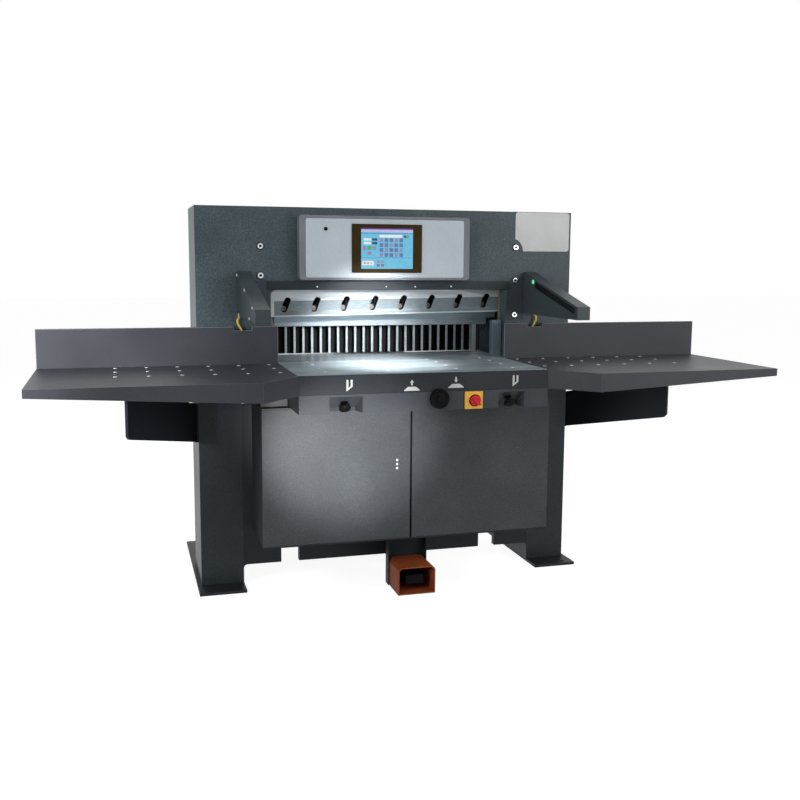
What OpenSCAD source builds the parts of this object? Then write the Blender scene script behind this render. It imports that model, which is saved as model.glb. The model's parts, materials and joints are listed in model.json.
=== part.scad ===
// Guillotine paper cutter, free standing, with side tables, a foot pedal and a touch screen.
// Millimetres. +Z up, +Y to the rear, origin on the floor under the middle of the whole machine.

/* [Frame] */
// Width of each upright beside the throat
column_w = 295; // [285:1:320]
// Height of the main frame above the throat
head_h = 329; // [310:1:400]
// Depth of the main frame, front face to back face
frame_depth = 320; // [310:5:360]
// Width of each leg below the table
leg_w = 172; // [150:2:190]
// Width of the throat between the uprights
throat_w = 1010; // [990:2:1040]
// Height of the throat above the table
throat_h = 289; // [270:1:300]
// Thickness of the cast front wall
front_wall = 64; // [56:1:70]
// Thickness of the cast rear wall
rear_wall = 20; // [15:1:25]
// Thickness of the cast side walls
side_wall = 14; // [10:1:16]
// Thickness of the roof of the uprights and the head beam
roof_t = 40; // [20:1:50]
// Thickness of the foot plates
foot_t = 12; // [10:1:20]
// Length of the foot plates, front to back
foot_len = 760; // [700:10:800]
// How far the foot plates stand out beside the frame
foot_lip = 16; // [10:1:30]
// Radius of the floor bolt holes
foot_hole_r = 9; // [7:0.5:12]
// Distance of the floor bolt holes from the plate's end and outer edge
foot_hole_edge = 25; // [20:1:35]
// Height of the underside of the base beam above the floor
base_clear = 86; // [70:1:100]
// Thickness of the base beam plate
base_t = 30; // [20:1:40]
// Width of each fork notch in the base beam
fork_w = 75; // [60:1:90]
// Height of each fork notch above the beam's underside
fork_h = 100; // [60:1:110]
// Distance from the middle of the machine to the inner edge of a fork notch
fork_x = 398; // [360:1:420]
// Radius where a leg meets the underside of the base beam
leg_fillet = 15; // [10:1:50]
// Radius of the throat's upper left corner in the front wall
throat_r = 22; // [10:1:30]
// Radius of the mains lead's inlet in the back of the left leg
inlet_r = 12.5; // [8:0.5:16]

/* [Tables] */
// Height of the cutting table above the floor
table_h = 922; // [900:1:940]
// Thickness of the cutting table
table_t = 40; // [30:1:50]
// Width of the front table
table_w = 966; // [950:2:980]
// How far the front table reaches ahead of the frame
table_reach = 498; // [450:2:540]
// How far the rear table reaches behind the frame
rear_reach = 893; // [880:5:950]
// How far the side tables reach ahead of the frame
side_reach = 653; // [620:1:700]
// Width over the outer ends of both side tables
overall_w = 2790; // [2700:10:2900]
// Distance from the middle to a side table's inner front corner
side_corner_x = 631; // [600:1:660]
// How far the side tables lie below the cutting table
side_drop = 2; // [1:0.5:4]
// Sheet thickness of the side tables
side_sheet = 8; // [5:1:10]
// Height of the side tables' skirt at the inner end
skirt_inner = 71; // [60:1:80]
// Height of the side tables' skirt at the outer end
skirt_outer = 29; // [25:1:50]
// Gap between the upstands' front and the frame's face
upstand_gap = 43; // [35:1:55]
// Height of the guides along both sides of the rear table
lay_h = 140; // [120:1:160]
// Thickness of those guides
lay_t = 14; // [10:1:16]
// Thickness of the upstands
upstand_t = 12; // [6:1:20]
// Height of the upstands above the side tables
upstand_h = 149; // [120:1:170]
// Depth of the cable notch in the top of an upstand
notch_h = 15; // [10:1:20]
// Width of the cable notch
notch_w = 71; // [60:1:80]
// Distance from the middle to the inner edge of the cable notch
notch_x = 588; // [580:1:595]
// Height of the side table brackets
bracket_h = 156; // [120:1:160]
// Depth of the bracket's foot below the side tables
bracket_drop = 316; // [280:1:340]
// Thickness of the bracket plates
bracket_t = 12; // [8:1:16]
// How far the brackets reach sideways from the frame
bracket_out = 272; // [240:2:300]
// How far the brackets reach forwards
bracket_fwd = 400; // [350:2:430]

/* [Knife] */
// Thickness of the knife beam
beam_t = 122; // [118:1:124]
// Height of the knife beam
beam_h = 260; // [240:2:280]
// Length of the knife beam
beam_len = 1185; // [1170:1:1190]
// Height of the bright strip over the beam's recess
beam_strip = 196; // [180:1:200]
// Depth of the recess in the beam's face
beam_recess = 8; // [4:1:12]
// Width of the ledge under the recess
beam_ledge = 5; // [3:1:8]
// Thickness of the brass gibs
gib_t = 13; // [10:0.5:14]
// Height of the knife's edge above the table at rest, left end
knife_lift = 143; // [135:1:146]
// How far the knife moves to the left during the cut
knife_swing = 55; // [45:1:58]
// Tilt of the knife at rest, in degrees, right end high
knife_tilt = 0.89; // [0.5:0.01:1.2]
// Length of the knife
knife_len = 1000; // [990:1:1010]
// Height of the knife
knife_h = 130; // [110:1:140]
// Thickness of the knife
knife_t = 13; // [10:0.5:14]
// How far the knife stands out under the beam
knife_show = 34; // [30:1:40]
// Height of the ground bevel
bevel_h = 30; // [20:1:32]
// Number of knife bolts
knife_bolt_n = 8; // [6:1:9]
// Distance between the knife bolts
knife_bolt_pitch = 124.5; // [110:0.5:126]
// Length of the slanted bolt slots
slot_len = 64; // [50:1:70]
// Width of the slanted bolt slots
slot_w = 26; // [24:1:30]
// Width of the cutting stick
stick_w = 16; // [12:1:20]
// Depth of the cutting stick's groove
stick_t = 15; // [10:1:20]

/* [Clamp and back gauge] */
// Thickness of the clamp, front to back
clamp_t = 80; // [76:1:82]
// Height of the clamp
clamp_h = 200; // [180:1:210]
// Height of the clamp's underside above the table at rest
clamp_lift = 128; // [124:1:132]
// Number of gauge fingers
finger_n = 24; // [20:1:24]
// Distance between the gauge fingers
finger_pitch = 38.4; // [36:0.1:38.6]
// Width of a gauge finger
finger_w = 10.5; // [8:0.5:12]
// Height of a gauge finger
finger_h = 116; // [100:1:120]
// Length of a gauge finger, front to back
finger_len = 40; // [38:1:46]
// Gap between the table and the gauge
gauge_gap = 4; // [2:0.5:6]
// Radius of the lead screw
screw_r = 12; // [10:0.5:14]
// Depth of the lead screw's axis below the table top
screw_drop = 72; // [70:1:76]
// Radius of the belt pulleys
pulley_r = 25; // [20:1:30]
// Distance between the two pulleys' axes
pulley_gap = 90; // [85:1:100]

/* [Cabinet] */
// Width of the lower cabinet
cabinet_w = 1176; // [1150:2:1200]
// Depth of the lower cabinet ahead of the frame, doors included
cabinet_depth = 290; // [270:2:310]
// Height of the doors' lower edge
door_z = 238; // [220:1:240]
// Gap between the control box and the doors' upper edge
door_drop = 10; // [9:1:20]
// Thickness of the doors
door_t = 18; // [14:1:22]
// Gap between the two doors
door_gap = 8; // [4:1:10]
// Sheet thickness of the cabinet
cabinet_sheet = 5; // [3:1:6]
// Radius of the hinge pins
pin_r = 4; // [3:0.5:5]

/* [Controls] */
// Height of the front apron
apron_h = 72; // [65:1:80]
// Height of the control box under the apron
box_h = 70; // [64:1:72]
// Sheet thickness of the control box
box_sheet = 6; // [4:1:8]
// Radius of the hand wheel
wheel_r = 37.5; // [30:0.5:40]
// Distance of the hand wheel from the middle
wheel_x = 44; // [20:1:60]
// Width of the main switch plate
switch_w = 71; // [60:1:76]
// Distance from the middle to the centre of the switch plate
switch_x = 180; // [170:1:200]
// Radius of the cut buttons
button_r = 22; // [18:0.5:24]
// Travel of the cut buttons
button_travel = 6; // [4:0.5:8]

/* [Foot pedal] */
// Width of the pedal guard
guard_w = 155; // [130:1:160]
// Height of the pedal guard
guard_h = 113; // [105:1:120]
// Depth of the pedal guard
guard_d = 166; // [150:1:180]
// Wall of the pedal guard
guard_wall = 5; // [3:0.5:6]
// Distance from the middle to the centre of the pedal guard
guard_x = 25; // [0:1:40]
// Gap between the floor and the pedal guard
guard_clear = 2; // [1:0.5:4]

/* [Light guards] */
// Width of each light-curtain arm
arm_w = 54; // [45:1:60]
// Distance from the middle to the inner face of an arm
arm_x = 585; // [580:1:595]
// How far the arms reach ahead of the frame
arm_reach = 525; // [480:1:560]
// Height of the arms' underside above the table
arm_rise = 188; // [173:1:198]
// Height of an arm at the frame
arm_back_h = 177; // [150:1:190]
// Height of an arm at its front end
arm_front_h = 50; // [45:1:70]
// Sheet thickness of the arms
arm_sheet = 3; // [2:0.5:5]

/* [Display] */
// Width of the display housing
display_w = 716; // [680:2:740]
// Height of the display housing
display_h = 256; // [240:2:262]
// Depth of the display housing
display_d = 50; // [40:1:60]
// Height of the display housing's lower edge above the throat
display_rise = 41; // [37:1:51]
// Distance of the housing's middle from the machine's middle
display_x = -39; // [-50:1:0]
// Width of the rim round the silver panel
display_rim = 26; // [18:1:30]
// Width of the screen bezel
screen_w = 294; // [270:2:310]
// Height of the screen bezel
screen_h = 195; // [180:1:200]

/* [Hidden] */
$fn = 48;

// Running clearance of a shaft in its bore, and of a flat slide
run_gap = 0.05;
slide_gap = 0.3;

// Front-to-back places
frame_front = side_reach - (side_reach + frame_depth + rear_reach) / 2;
frame_back = frame_front + frame_depth;
lip_back = frame_front + front_wall;
cavity_back = frame_back - rear_wall;
gib_back = lip_back + gib_t;
beam_front = gib_back + slide_gap + 0.2;
beam_back = beam_front + beam_t;
knife_back = beam_back + knife_t;
clamp_front = knife_back + 1;
clamp_back = clamp_front + clamp_t;
table_front = frame_front - table_reach;
side_front = frame_front - side_reach;
upstand_front = frame_front - upstand_gap;
door_front = frame_front - cabinet_depth;
door_back = door_front + door_t;
cabinet_front = door_back + 4;
rear_end = frame_back + rear_reach;

// Heights
throat_top = table_h + throat_h;
frame_h = throat_top + head_h;
roof_z = frame_h - roof_t;
table_under = table_h - table_t;
side_z = table_h - side_drop;
apron_z = table_h - apron_h;
box_z = apron_z - box_h;
door_top = box_z - door_drop;
clamp_z = table_h + clamp_lift;
edge_z = table_h + knife_lift;
beam_z = edge_z + knife_show;
arm_z = table_h + arm_rise;
display_z = throat_top + display_rise;
bracket_z = side_z - bracket_drop;

// Widths
half_throat = throat_w / 2;
frame_w = throat_w + 2 * column_w;
leg_in = frame_w / 2 - leg_w;
half_table = table_w / 2;
half_front = half_table + 1;

module box(lo, hi) {
    translate(lo) cube(hi - lo);
}

// Outline in the Y-Z plane, extruded from x0 to x1
module side_profile(x0, x1, pts) {
    translate([x0, 0, 0]) rotate([90, 0, 90]) linear_extrude(x1 - x0) polygon(pts);
}

// Outline in the X-Z plane, extruded from y0 to y1
module front_profile(y0, y1, pts) {
    translate([0, y1, 0]) rotate([90, 0, 0]) linear_extrude(y1 - y0) polygon(pts);
}

module rod_y(r, y0, y1, x = 0, z = 0) {
    translate([x, y0, z]) rotate([-90, 0, 0]) cylinder(r = r, h = y1 - y0);
}

module rod_x(r, x0, x1, y = 0, z = 0) {
    translate([x0, y, z]) rotate([0, 90, 0]) cylinder(r = r, h = x1 - x0);
}

// Rounded bar outline: a slot of the given length and width, along X
module stadium(len, w) {
    square([len - w, w], center = true);
    for (s = [-1, 1]) translate([s * (len - w) / 2, 0]) circle(d = w);
}

// Rectangle with round corners
module round_rect(w, h, r) {
    square([w - 2 * r, h], center = true);
    square([w, h - 2 * r], center = true);
    for (sx = [-1, 1], sy = [-1, 1]) translate([sx * (w / 2 - r), sy * (h / 2 - r)]) circle(r = r);
}

// Plate with round corners standing in the X-Z plane
module round_plate(w, h, r, y0, y1, x, z) {
    translate([x, y1, z]) rotate([90, 0, 0]) linear_extrude(y1 - y0) round_rect(w, h, r);
}

// ---------------------------------------------------------------- frame

// Heights of the bolts that hold the gibs, left and right upright
left_bolt_z = [throat_top + 174, throat_top + 58, throat_top - 107];
right_bolt_z = [throat_top + 179, throat_top + 39, throat_top - 107];
bolt_x = half_throat + 40;
bolt_r = 6;
bolt_grip = front_wall + 10;

module at_frame_bolts() {
    for (z = left_bolt_z) translate([-bolt_x, frame_front, z]) children();
    for (z = right_bolt_z) translate([bolt_x, frame_front, z]) children();
}

// Right-hand upright: a leg below the table, a wider hollow column above it
module upright_casting() {
    difference() {
        front_profile(frame_front, frame_back, [
            [frame_w / 2, foot_t], [frame_w / 2, frame_h], [half_throat, frame_h],
            [half_throat, table_under], [leg_in, table_under], [leg_in, foot_t]]);
        box([leg_in + side_wall, lip_back, foot_t + 40],
            [frame_w / 2 - side_wall, cavity_back, roof_z]);
        box([half_throat - 1, lip_back, table_under + 20],
            [leg_in + side_wall + 1, cavity_back, roof_z]);
    }
}

inlet_z = 160;
inlet_x = -(leg_in + frame_w / 2) / 2;
module left_upright() color([0.25, 0.30, 0.33]) {
    difference() {
        mirror([1, 0, 0]) upright_casting();
        rod_y(inlet_r, cavity_back - 1, frame_back + 1, inlet_x, inlet_z);
        at_frame_bolts() translate([0, -1, 0]) rotate([-90, 0, 0])
            cylinder(r = bolt_r + 0.1, h = front_wall + 2);
    }
}

module right_upright() color([0.25, 0.30, 0.33]) {
    difference() {
        upright_casting();
        at_frame_bolts() translate([0, -1, 0]) rotate([-90, 0, 0])
            cylinder(r = bolt_r + 0.1, h = front_wall + 2);
    }
}

module head_beam() color([0.25, 0.30, 0.33]) {
    difference() {
        box([-half_throat, frame_front, throat_top], [half_throat, frame_back, frame_h]);
        box([-half_throat - 1, lip_back, throat_top - 1],
            [half_throat + 1, cavity_back, roof_z]);
    }
    // Rounded upper left corner of the throat
    difference() {
        box([-half_throat, frame_front, throat_top - throat_r],
            [-half_throat + throat_r, lip_back, throat_top + 1]);
        rod_y(throat_r, frame_front - 1, lip_back + 1, -half_throat + throat_r, throat_top - throat_r);
    }
}

// Cross beam under the table, between the legs
table_beam_h = 130;
module table_beam() color([0.17, 0.19, 0.21]) {
    difference() {
        box([-leg_in, lip_back, table_under - table_beam_h], [leg_in, cavity_back, table_under]);
        box([-leg_in + 30, lip_back + 20, table_under - table_beam_h - 1],
            [leg_in - 30, cavity_back - 20, table_under - 20]);
    }
}

// Front plate between the legs, from the base up to the cross beam
module base_beam() color([0.15, 0.16, 0.18]) {
    top = table_under - table_beam_h;
    difference() {
        union() {
            box([-leg_in, frame_front, base_clear], [leg_in, frame_front + base_t, top]);
            for (s = [-1, 1]) fillet_block(s);
        }
        for (s = [-1, 1]) {
            x0 = min(s * fork_x, s * (fork_x + fork_w));
            box([x0, frame_front - 1, base_clear - 1],
                [x0 + fork_w, frame_front + base_t + 1, base_clear + fork_h]);
        }
    }
}

// Rounded corner between the base beam's underside and a leg
module fillet_block(s) {
    r = leg_fillet;
    difference() {
        x0 = min(s * leg_in, s * (leg_in - r));
        box([x0, frame_front, base_clear - r], [x0 + r, frame_front + base_t, base_clear]);
        rod_y(r, frame_front - 1, frame_front + base_t + 1, s * (leg_in - r), base_clear - r);
    }
}

foot_out = frame_w / 2 + foot_lip;
foot_hole_x = foot_out - foot_hole_edge - 22;
module foot_plates() color([0.15, 0.16, 0.18]) {
    for (s = [-1, 1]) difference() {
        x0 = min(s * leg_in, s * foot_out);
        box([x0, -foot_len / 2, 0], [x0 + foot_out - leg_in, foot_len / 2, foot_t]);
        for (e = [-1, 1]) translate([s * foot_hole_x, e * (foot_len / 2 - foot_hole_edge), -1])
            cylinder(r = foot_hole_r, h = foot_t + 2);
    }
}

// Sheet metal stand under the rear table
pedestal_w = 560;
pedestal_y = frame_back + 300;
pedestal_d = 460;
module rear_pedestal() color([0.17, 0.18, 0.20]) {
    screw_z = table_h - screw_drop;
    difference() {
        box([-pedestal_w / 2, pedestal_y, 0], [pedestal_w / 2, pedestal_y + pedestal_d, table_under]);
        box([-pedestal_w / 2 + 6, pedestal_y + 6, -1],
            [pedestal_w / 2 - 6, pedestal_y + pedestal_d - 6, table_under + 1]);
        // Passage for the lead screw, the nut and the motor
        box([-80, pedestal_y - 1, screw_z - pulley_gap - 70],
            [80, pedestal_y + pedestal_d + 1, table_under + 1]);
    }
}

// ---------------------------------------------------------------- tables

nozzle_r = 5;
nozzle_main_x = [-365, -127, 146, 381];
nozzle_main_y = [380, 256, 130, 10];
nozzle_side_x = [for (dx = [45, 163, 281, 398, 514, 628]) half_table + dx];
nozzle_side_y = [85, 215, 365];

module at_main_nozzles() {
    for (x = nozzle_main_x, y = nozzle_main_y)
        translate([x, frame_front - 10 - y, table_h]) children();
}

module at_side_nozzles() {
    for (s = [-1, 1], x = nozzle_side_x, y = nozzle_side_y)
        translate([s * x, frame_front - y, side_z]) children();
}

stick_y = knife_back;
module main_table() color([0.62, 0.65, 0.67]) {
    difference() {
        union() {
            box([-half_table, table_front + apron_t, table_under],
                [half_table, frame_front, table_h]);
            box([-half_throat + 0.5, frame_front, table_under],
                [half_throat - 0.5, frame_back, table_h]);
        }
        box([-half_table + 2, stick_y - stick_w / 2 - 0.2, table_h - stick_t],
            [half_table - 2, stick_y + stick_w / 2 + 0.2, table_h + 1]);
        at_main_nozzles() translate([0, 0, -table_t - 1]) cylinder(r = nozzle_r, h = table_t + 2);
    }
}

module cutting_stick() color([0.85, 0.83, 0.80]) {
    box([-half_table + 3, stick_y - stick_w / 2, table_h - stick_t],
        [half_table - 3, stick_y + stick_w / 2, table_h - 0.2]);
}

gauge_slot_w = 28;
gauge_slot_y0 = frame_back + 40;
gauge_slot_y1 = frame_back + 830;
module rear_table() color([0.62, 0.65, 0.67]) {
    difference() {
        box([-half_throat + 0.5, frame_back, table_under], [half_throat - 0.5, rear_end, table_h]);
        box([-gauge_slot_w / 2, gauge_slot_y0, table_under - 1],
            [gauge_slot_w / 2, gauge_slot_y1, table_h + 1]);
    }
}

guide_h = 157;
lay_gap = 1;
lay_short = 60;
module throat_guides() color([0.45, 0.50, 0.53]) {
    y0 = frame_front + 30;
    y1 = lip_back - 2;
    box([-half_throat, y0, table_h], [-half_throat + 21, y1, table_h + guide_h]);
    box([half_throat - 48, y0, table_h], [half_throat - 6, y1, table_h + guide_h]);
    // Guides along both sides of the rear table
    for (s = [0, 1]) mirror([s, 0, 0])
        box([half_throat - 1 - lay_t, frame_back + lay_gap, table_h],
            [half_throat - 1, rear_end - lay_short, table_h + lay_h]);
}

// Flanged air nozzle with its ball
module nozzle() {
    translate([0, 0, -7]) cylinder(r = nozzle_r, h = 7.5, $fn = 24);
    cylinder(r = nozzle_r + 2, h = 0.8, $fn = 24);
    translate([0, 0, -1.4]) sphere(r = 2.6, $fn = 24);
}

module air_nozzles() color([0.85, 0.86, 0.87]) {
    at_main_nozzles() nozzle();
    at_side_nozzles() nozzle();
}

module side_table_sheet() {
    top_in = half_table + 1;
    inner_skirt = 40;
    rear_y = upstand_front;
    out = overall_w / 2;
    // Top sheet
    difference() {
        translate([0, 0, side_z - side_sheet]) linear_extrude(side_sheet) polygon([
            [top_in, table_front], [side_corner_x, side_front], [out, side_front],
            [out, rear_y], [top_in, rear_y]]);
        at_side_nozzles() translate([0, 0, -side_sheet - 1])
            cylinder(r = nozzle_r, h = side_sheet + 2);
    }
    // Front skirt, tapering to the outer end
    front_profile(side_front, side_front + side_sheet, [
        [side_corner_x, side_z], [side_corner_x, side_z - skirt_inner],
        [out, side_z - skirt_outer], [out, side_z]]);
    // Outer skirt
    box([out - side_sheet, side_front, side_z - skirt_outer], [out, rear_y, side_z]);
    // Diagonal inner skirt
    translate([0, 0, side_z - skirt_inner]) linear_extrude(skirt_inner) polygon([
        [top_in, table_front], [side_corner_x, side_front],
        [side_corner_x + side_sheet, side_front], [side_corner_x + side_sheet, side_front + side_sheet],
        [top_in + side_sheet, table_front + side_sheet], [top_in, table_front + side_sheet]]);
    // Inner and rear skirts
    box([top_in, table_front, side_z - inner_skirt], [top_in + side_sheet, rear_y, side_z]);
    box([top_in, rear_y - side_sheet, side_z - inner_skirt], [out, rear_y, side_z]);
}

module right_side_table() color([0.22, 0.23, 0.25]) side_table_sheet();

module left_side_table() color([0.22, 0.23, 0.25]) mirror([1, 0, 0]) side_table_sheet();

module upstands() color([0.23, 0.24, 0.26]) {
    for (s = [0, 1]) mirror([s, 0, 0]) difference() {
        box([half_table + 1, upstand_front, side_z - 40],
            [overall_w / 2, upstand_front + upstand_t, side_z + upstand_h]);
        box([notch_x, upstand_front - 1, side_z + upstand_h - notch_h],
            [notch_x + notch_w, upstand_front + upstand_t + 1, side_z + upstand_h + 1]);
    }
}

// Diagonal bracket plate with a foot on the side of the frame
module table_bracket() {
    run = sqrt(bracket_out * bracket_out + bracket_fwd * bracket_fwd);
    turn = atan2(-bracket_fwd, bracket_out);
    rise = 0.195 * run;
    top = side_z - side_sheet;
    foot_y = frame_front + 20;
    translate([frame_w / 2 + bracket_t / 2, foot_y, 0]) rotate([0, 0, turn])
        front_profile(-bracket_t / 2, bracket_t / 2, [
            [0, bracket_z], [run - 12, bracket_z + rise - 4], [run, bracket_z + rise + 8], [run, top],
            [run - 130, top], [run - 170, bracket_z + bracket_h + rise - 30],
            [0, bracket_z + bracket_h]]);
    box([frame_w / 2, foot_y - 10, bracket_z], [frame_w / 2 + bracket_t, foot_y + 110,
        bracket_z + bracket_h]);
}

module table_brackets() color([0.10, 0.13, 0.16]) {
    for (s = [0, 1]) mirror([s, 0, 0]) table_bracket();
}

// ---------------------------------------------------------------- knife

module knife_gibs() color([0.55, 0.52, 0.30]) {
    for (s = [0, 1]) mirror([s, 0, 0]) difference() {
        box([half_throat - 6, lip_back, table_h + 60], [half_throat + 60, gib_back, roof_z - 49]);
        for (z = concat(left_bolt_z, right_bolt_z))
            rod_y(bolt_r + 0.1, lip_back - 1, lip_back + 11, bolt_x, z);
    }
}

// The tilt lifts the knife's left end a little, which is taken off its level height here
edge_gap = 0.3;
tilt_lift = 116 * sin(knife_tilt);
level_edge = edge_z - tilt_lift;
level_beam = beam_z - tilt_lift;

// The knife swings down and to the left along this angle from the vertical
swing_angle = atan2(knife_swing, level_edge - table_h - edge_gap);
pivot_x = -half_throat - 75;
pivot_z = table_h + 278;
pivot_pin_r = 15;
block_len = 90;
block_w = 70;
block_front = beam_back + 1;
block_back = cavity_back - 50;
rod_end = 247;
barrel_start = 212;
barrel_end = 425;
barrel_r = 20;
rod_r = 13;
drive_y = (block_front + block_back) / 2;

// Children are drawn with +X along the downward stroke, from the pivot
module along_stroke() {
    translate([pivot_x, 0, pivot_z]) rotate([0, 90 + swing_angle, 0]) children();
}

module knife_slide_block() color([0.50, 0.52, 0.54]) {
    along_stroke() box([-block_len / 2, block_front, -block_w / 2],
        [block_len / 2, block_back, block_w / 2]);
    rod_y(pivot_pin_r, beam_front + 4, block_front + 5, pivot_x, pivot_z);
}

module knife_guide_rails() color([0.45, 0.47, 0.49]) {
    along_stroke() for (s = [-1, 1]) {
        z0 = s > 0 ? block_w / 2 + slide_gap : -block_w / 2 - slide_gap - 20;
        box([-55, block_front + 4, z0], [205, cavity_back, z0 + 20]);
    }
}

module knife_rod() color([0.80, 0.82, 0.84]) {
    along_stroke() rod_x(rod_r, block_len / 2, rod_end, drive_y, 0);
}

module knife_cylinder() color([0.20, 0.22, 0.25]) {
    along_stroke() difference() {
        union() {
            rod_x(barrel_r, barrel_start, barrel_end, drive_y, 0);
            box([barrel_end - 70, drive_y, -barrel_r], [barrel_end - 10, cavity_back, barrel_r]);
        }
        rod_x(rod_r + run_gap, barrel_start - 1, barrel_end - 14, drive_y, 0);
    }
}

// Everything on the knife beam is drawn level, then tilted about the pivot to its raised pose
module raised() {
    translate([pivot_x, 0, pivot_z]) rotate([0, -knife_tilt, 0]) translate([-pivot_x, 0, -pivot_z])
        children();
}

beam_x0 = pivot_x - 40;
knife_x0 = -half_throat + 41;
slot_step = 40;
first_bolt_x = -knife_bolt_pitch * (knife_bolt_n - 1) / 2 + 4;
slot_z = level_beam + 48;

module at_knife_bolts() {
    for (i = [0 : knife_bolt_n - 1]) translate([first_bolt_x + i * knife_bolt_pitch, 0, slot_z])
        children();
}

// Slanted slot, deep enough to reach back to y1
module bolt_slot(len, w, y0, y1) {
    translate([0, y1, 0]) rotate([90, 0, 0]) linear_extrude(y1 - y0)
        rotate(90 - swing_angle) stadium(len, w);
}

bolt_shift = (slot_len - slot_w) / 2 - 2;
bolt_dx = -bolt_shift * sin(swing_angle);
bolt_dz = -bolt_shift * cos(swing_angle);

module knife_beam() color([0.66, 0.70, 0.72]) {
    raised() difference() {
        box([beam_x0, beam_front, level_beam], [beam_x0 + beam_len, beam_back, level_beam + beam_h]);
        box([-half_throat + 24, beam_front - 1, level_beam + beam_ledge],
            [beam_x0 + beam_len + 1, beam_front + beam_recess, level_beam + beam_h - beam_strip]);
        at_knife_bolts() bolt_slot(slot_len, slot_w, beam_front - 1, beam_front + slot_step);
        at_knife_bolts() bolt_slot(slot_len - 12, slot_w - 12, beam_front + slot_step - 1,
            beam_back + 1);
        rod_y(pivot_pin_r + run_gap, beam_front - 1, beam_back + 1, pivot_x, pivot_z);
    }
}

module knife_blade() color([0.78, 0.81, 0.83]) {
    raised() side_profile(knife_x0, knife_x0 + knife_len, [
        [knife_back, level_edge], [knife_back, level_edge + knife_h],
        [beam_back, level_edge + knife_h], [beam_back, level_edge + bevel_h]]);
}

knife_bolt_r = 6.5;
module knife_bolts() color([0.30, 0.30, 0.31]) {
    raised() at_knife_bolts() translate([bolt_dx, 0, bolt_dz]) difference() {
        union() {
            rod_y(10.5, beam_front + slot_step - 16, beam_front + slot_step);
            rod_y(knife_bolt_r, beam_front + slot_step - 1, beam_back);
        }
        translate([0, beam_front + slot_step - 17, 0]) rotate([-90, 0, 0])
            cylinder(r = 5.5, h = 9, $fn = 6);
    }
}

// ---------------------------------------------------------------- clamp

clamp_w = throat_w - 14;
tooth_front = clamp_front + 42;
clamp_rod_r = 20;
guide_rod_r = 15;
guide_rod_x = 350;
clamp_mid = (clamp_front + clamp_back) / 2;
clamp_top = clamp_z + clamp_h;
clamp_travel = clamp_lift - 2;

module clamp() color([0.40, 0.43, 0.46]) {
    difference() {
        box([-clamp_w / 2, clamp_front, clamp_z], [clamp_w / 2, clamp_back, clamp_top]);
        for (i = [0 : finger_n - 1]) {
            x = (i - (finger_n - 1) / 2) * finger_pitch;
            box([x - finger_w / 2 - 2.5, tooth_front, clamp_z - 1],
                [x + finger_w / 2 + 2.5, clamp_back + 1, clamp_z + clamp_travel + 4]);
        }
    }
}

module clamp_rods() color([0.80, 0.82, 0.84]) {
    rod_len = roof_z - 20 - clamp_top;
    translate([0, clamp_mid, clamp_top]) cylinder(r = clamp_rod_r, h = rod_len);
    for (s = [-1, 1]) translate([s * guide_rod_x, clamp_mid, clamp_top])
        cylinder(r = guide_rod_r, h = rod_len);
}

module clamp_cylinder() color([0.20, 0.22, 0.25]) {
    z0 = clamp_top + 80;
    difference() {
        translate([0, clamp_mid, z0]) cylinder(r = 35, h = roof_z - z0);
        translate([0, clamp_mid, z0 - 1]) cylinder(r = clamp_rod_r + run_gap, h = 157);
    }
}

module clamp_bushes() color([0.62, 0.55, 0.32]) {
    z0 = clamp_top + 40;
    for (s = [-1, 1]) difference() {
        box([s * guide_rod_x - 30, clamp_mid - 26, z0], [s * guide_rod_x + 30, cavity_back, z0 + 50]);
        translate([s * guide_rod_x, clamp_mid, z0 - 1]) cylinder(r = guide_rod_r + run_gap, h = 52);
    }
}

// ---------------------------------------------------------------- back gauge

gauge_z = table_h + gauge_gap;
finger_front = tooth_front + 4.5;
gauge_face = finger_front + finger_len;
gauge_plate_t = 14;
gauge_back = gauge_face + gauge_plate_t;
gauge_w = finger_n * finger_pitch + 2;
screw_z = table_h - screw_drop;
nut_y0 = gauge_back + 66;
nut_len = 50;
gauge_travel = 690;
bearing_front = gauge_slot_y0 - 30;
plate_y0 = nut_y0 + nut_len + gauge_travel + 6;
plate_t = 16;
pulley_y0 = plate_y0 + plate_t + 6;
pulley_t = 18;
motor_z = screw_z - pulley_gap;
motor_len = 166;
motor_shaft_r = 9;

// Glue line between the comb's bars and the plate
finger_seat = 0.2;

module back_gauge() color([0.55, 0.58, 0.60]) {
    for (i = [0 : finger_n - 1]) {
        x = (i - (finger_n - 1) / 2) * finger_pitch;
        box([x - finger_w / 2, finger_front, gauge_z + 4],
            [x + finger_w / 2, gauge_face - finger_seat, gauge_z + 4 + finger_h]);
    }
    box([-gauge_w / 2, gauge_face, gauge_z], [gauge_w / 2, gauge_back, gauge_z + 174]);
    // Foot behind the plate, with two ribs
    box([-150, gauge_back - 1, gauge_z], [150, gauge_back + 156, gauge_z + 40]);
    for (s = [-1, 1]) side_profile(s * 120 - 8, s * 120 + 8, [
        [gauge_back - 1, gauge_z + 30], [gauge_back + 150, gauge_z + 30],
        [gauge_back - 1, gauge_z + 160]]);
    // Neck through the table slot, and the nut block on the lead screw
    difference() {
        union() {
            box([-11, nut_y0, screw_z], [11, nut_y0 + nut_len, gauge_z + 10]);
            box([-30, nut_y0, screw_z - 24], [30, nut_y0 + nut_len, screw_z + 24]);
        }
        rod_y(screw_r + run_gap, nut_y0 - 1, nut_y0 + nut_len + 1, 0, screw_z);
    }
}

module lead_screw() color([0.70, 0.72, 0.74]) {
    rod_y(screw_r, bearing_front - 2, pulley_y0 + pulley_t, 0, screw_z);
}

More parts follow.
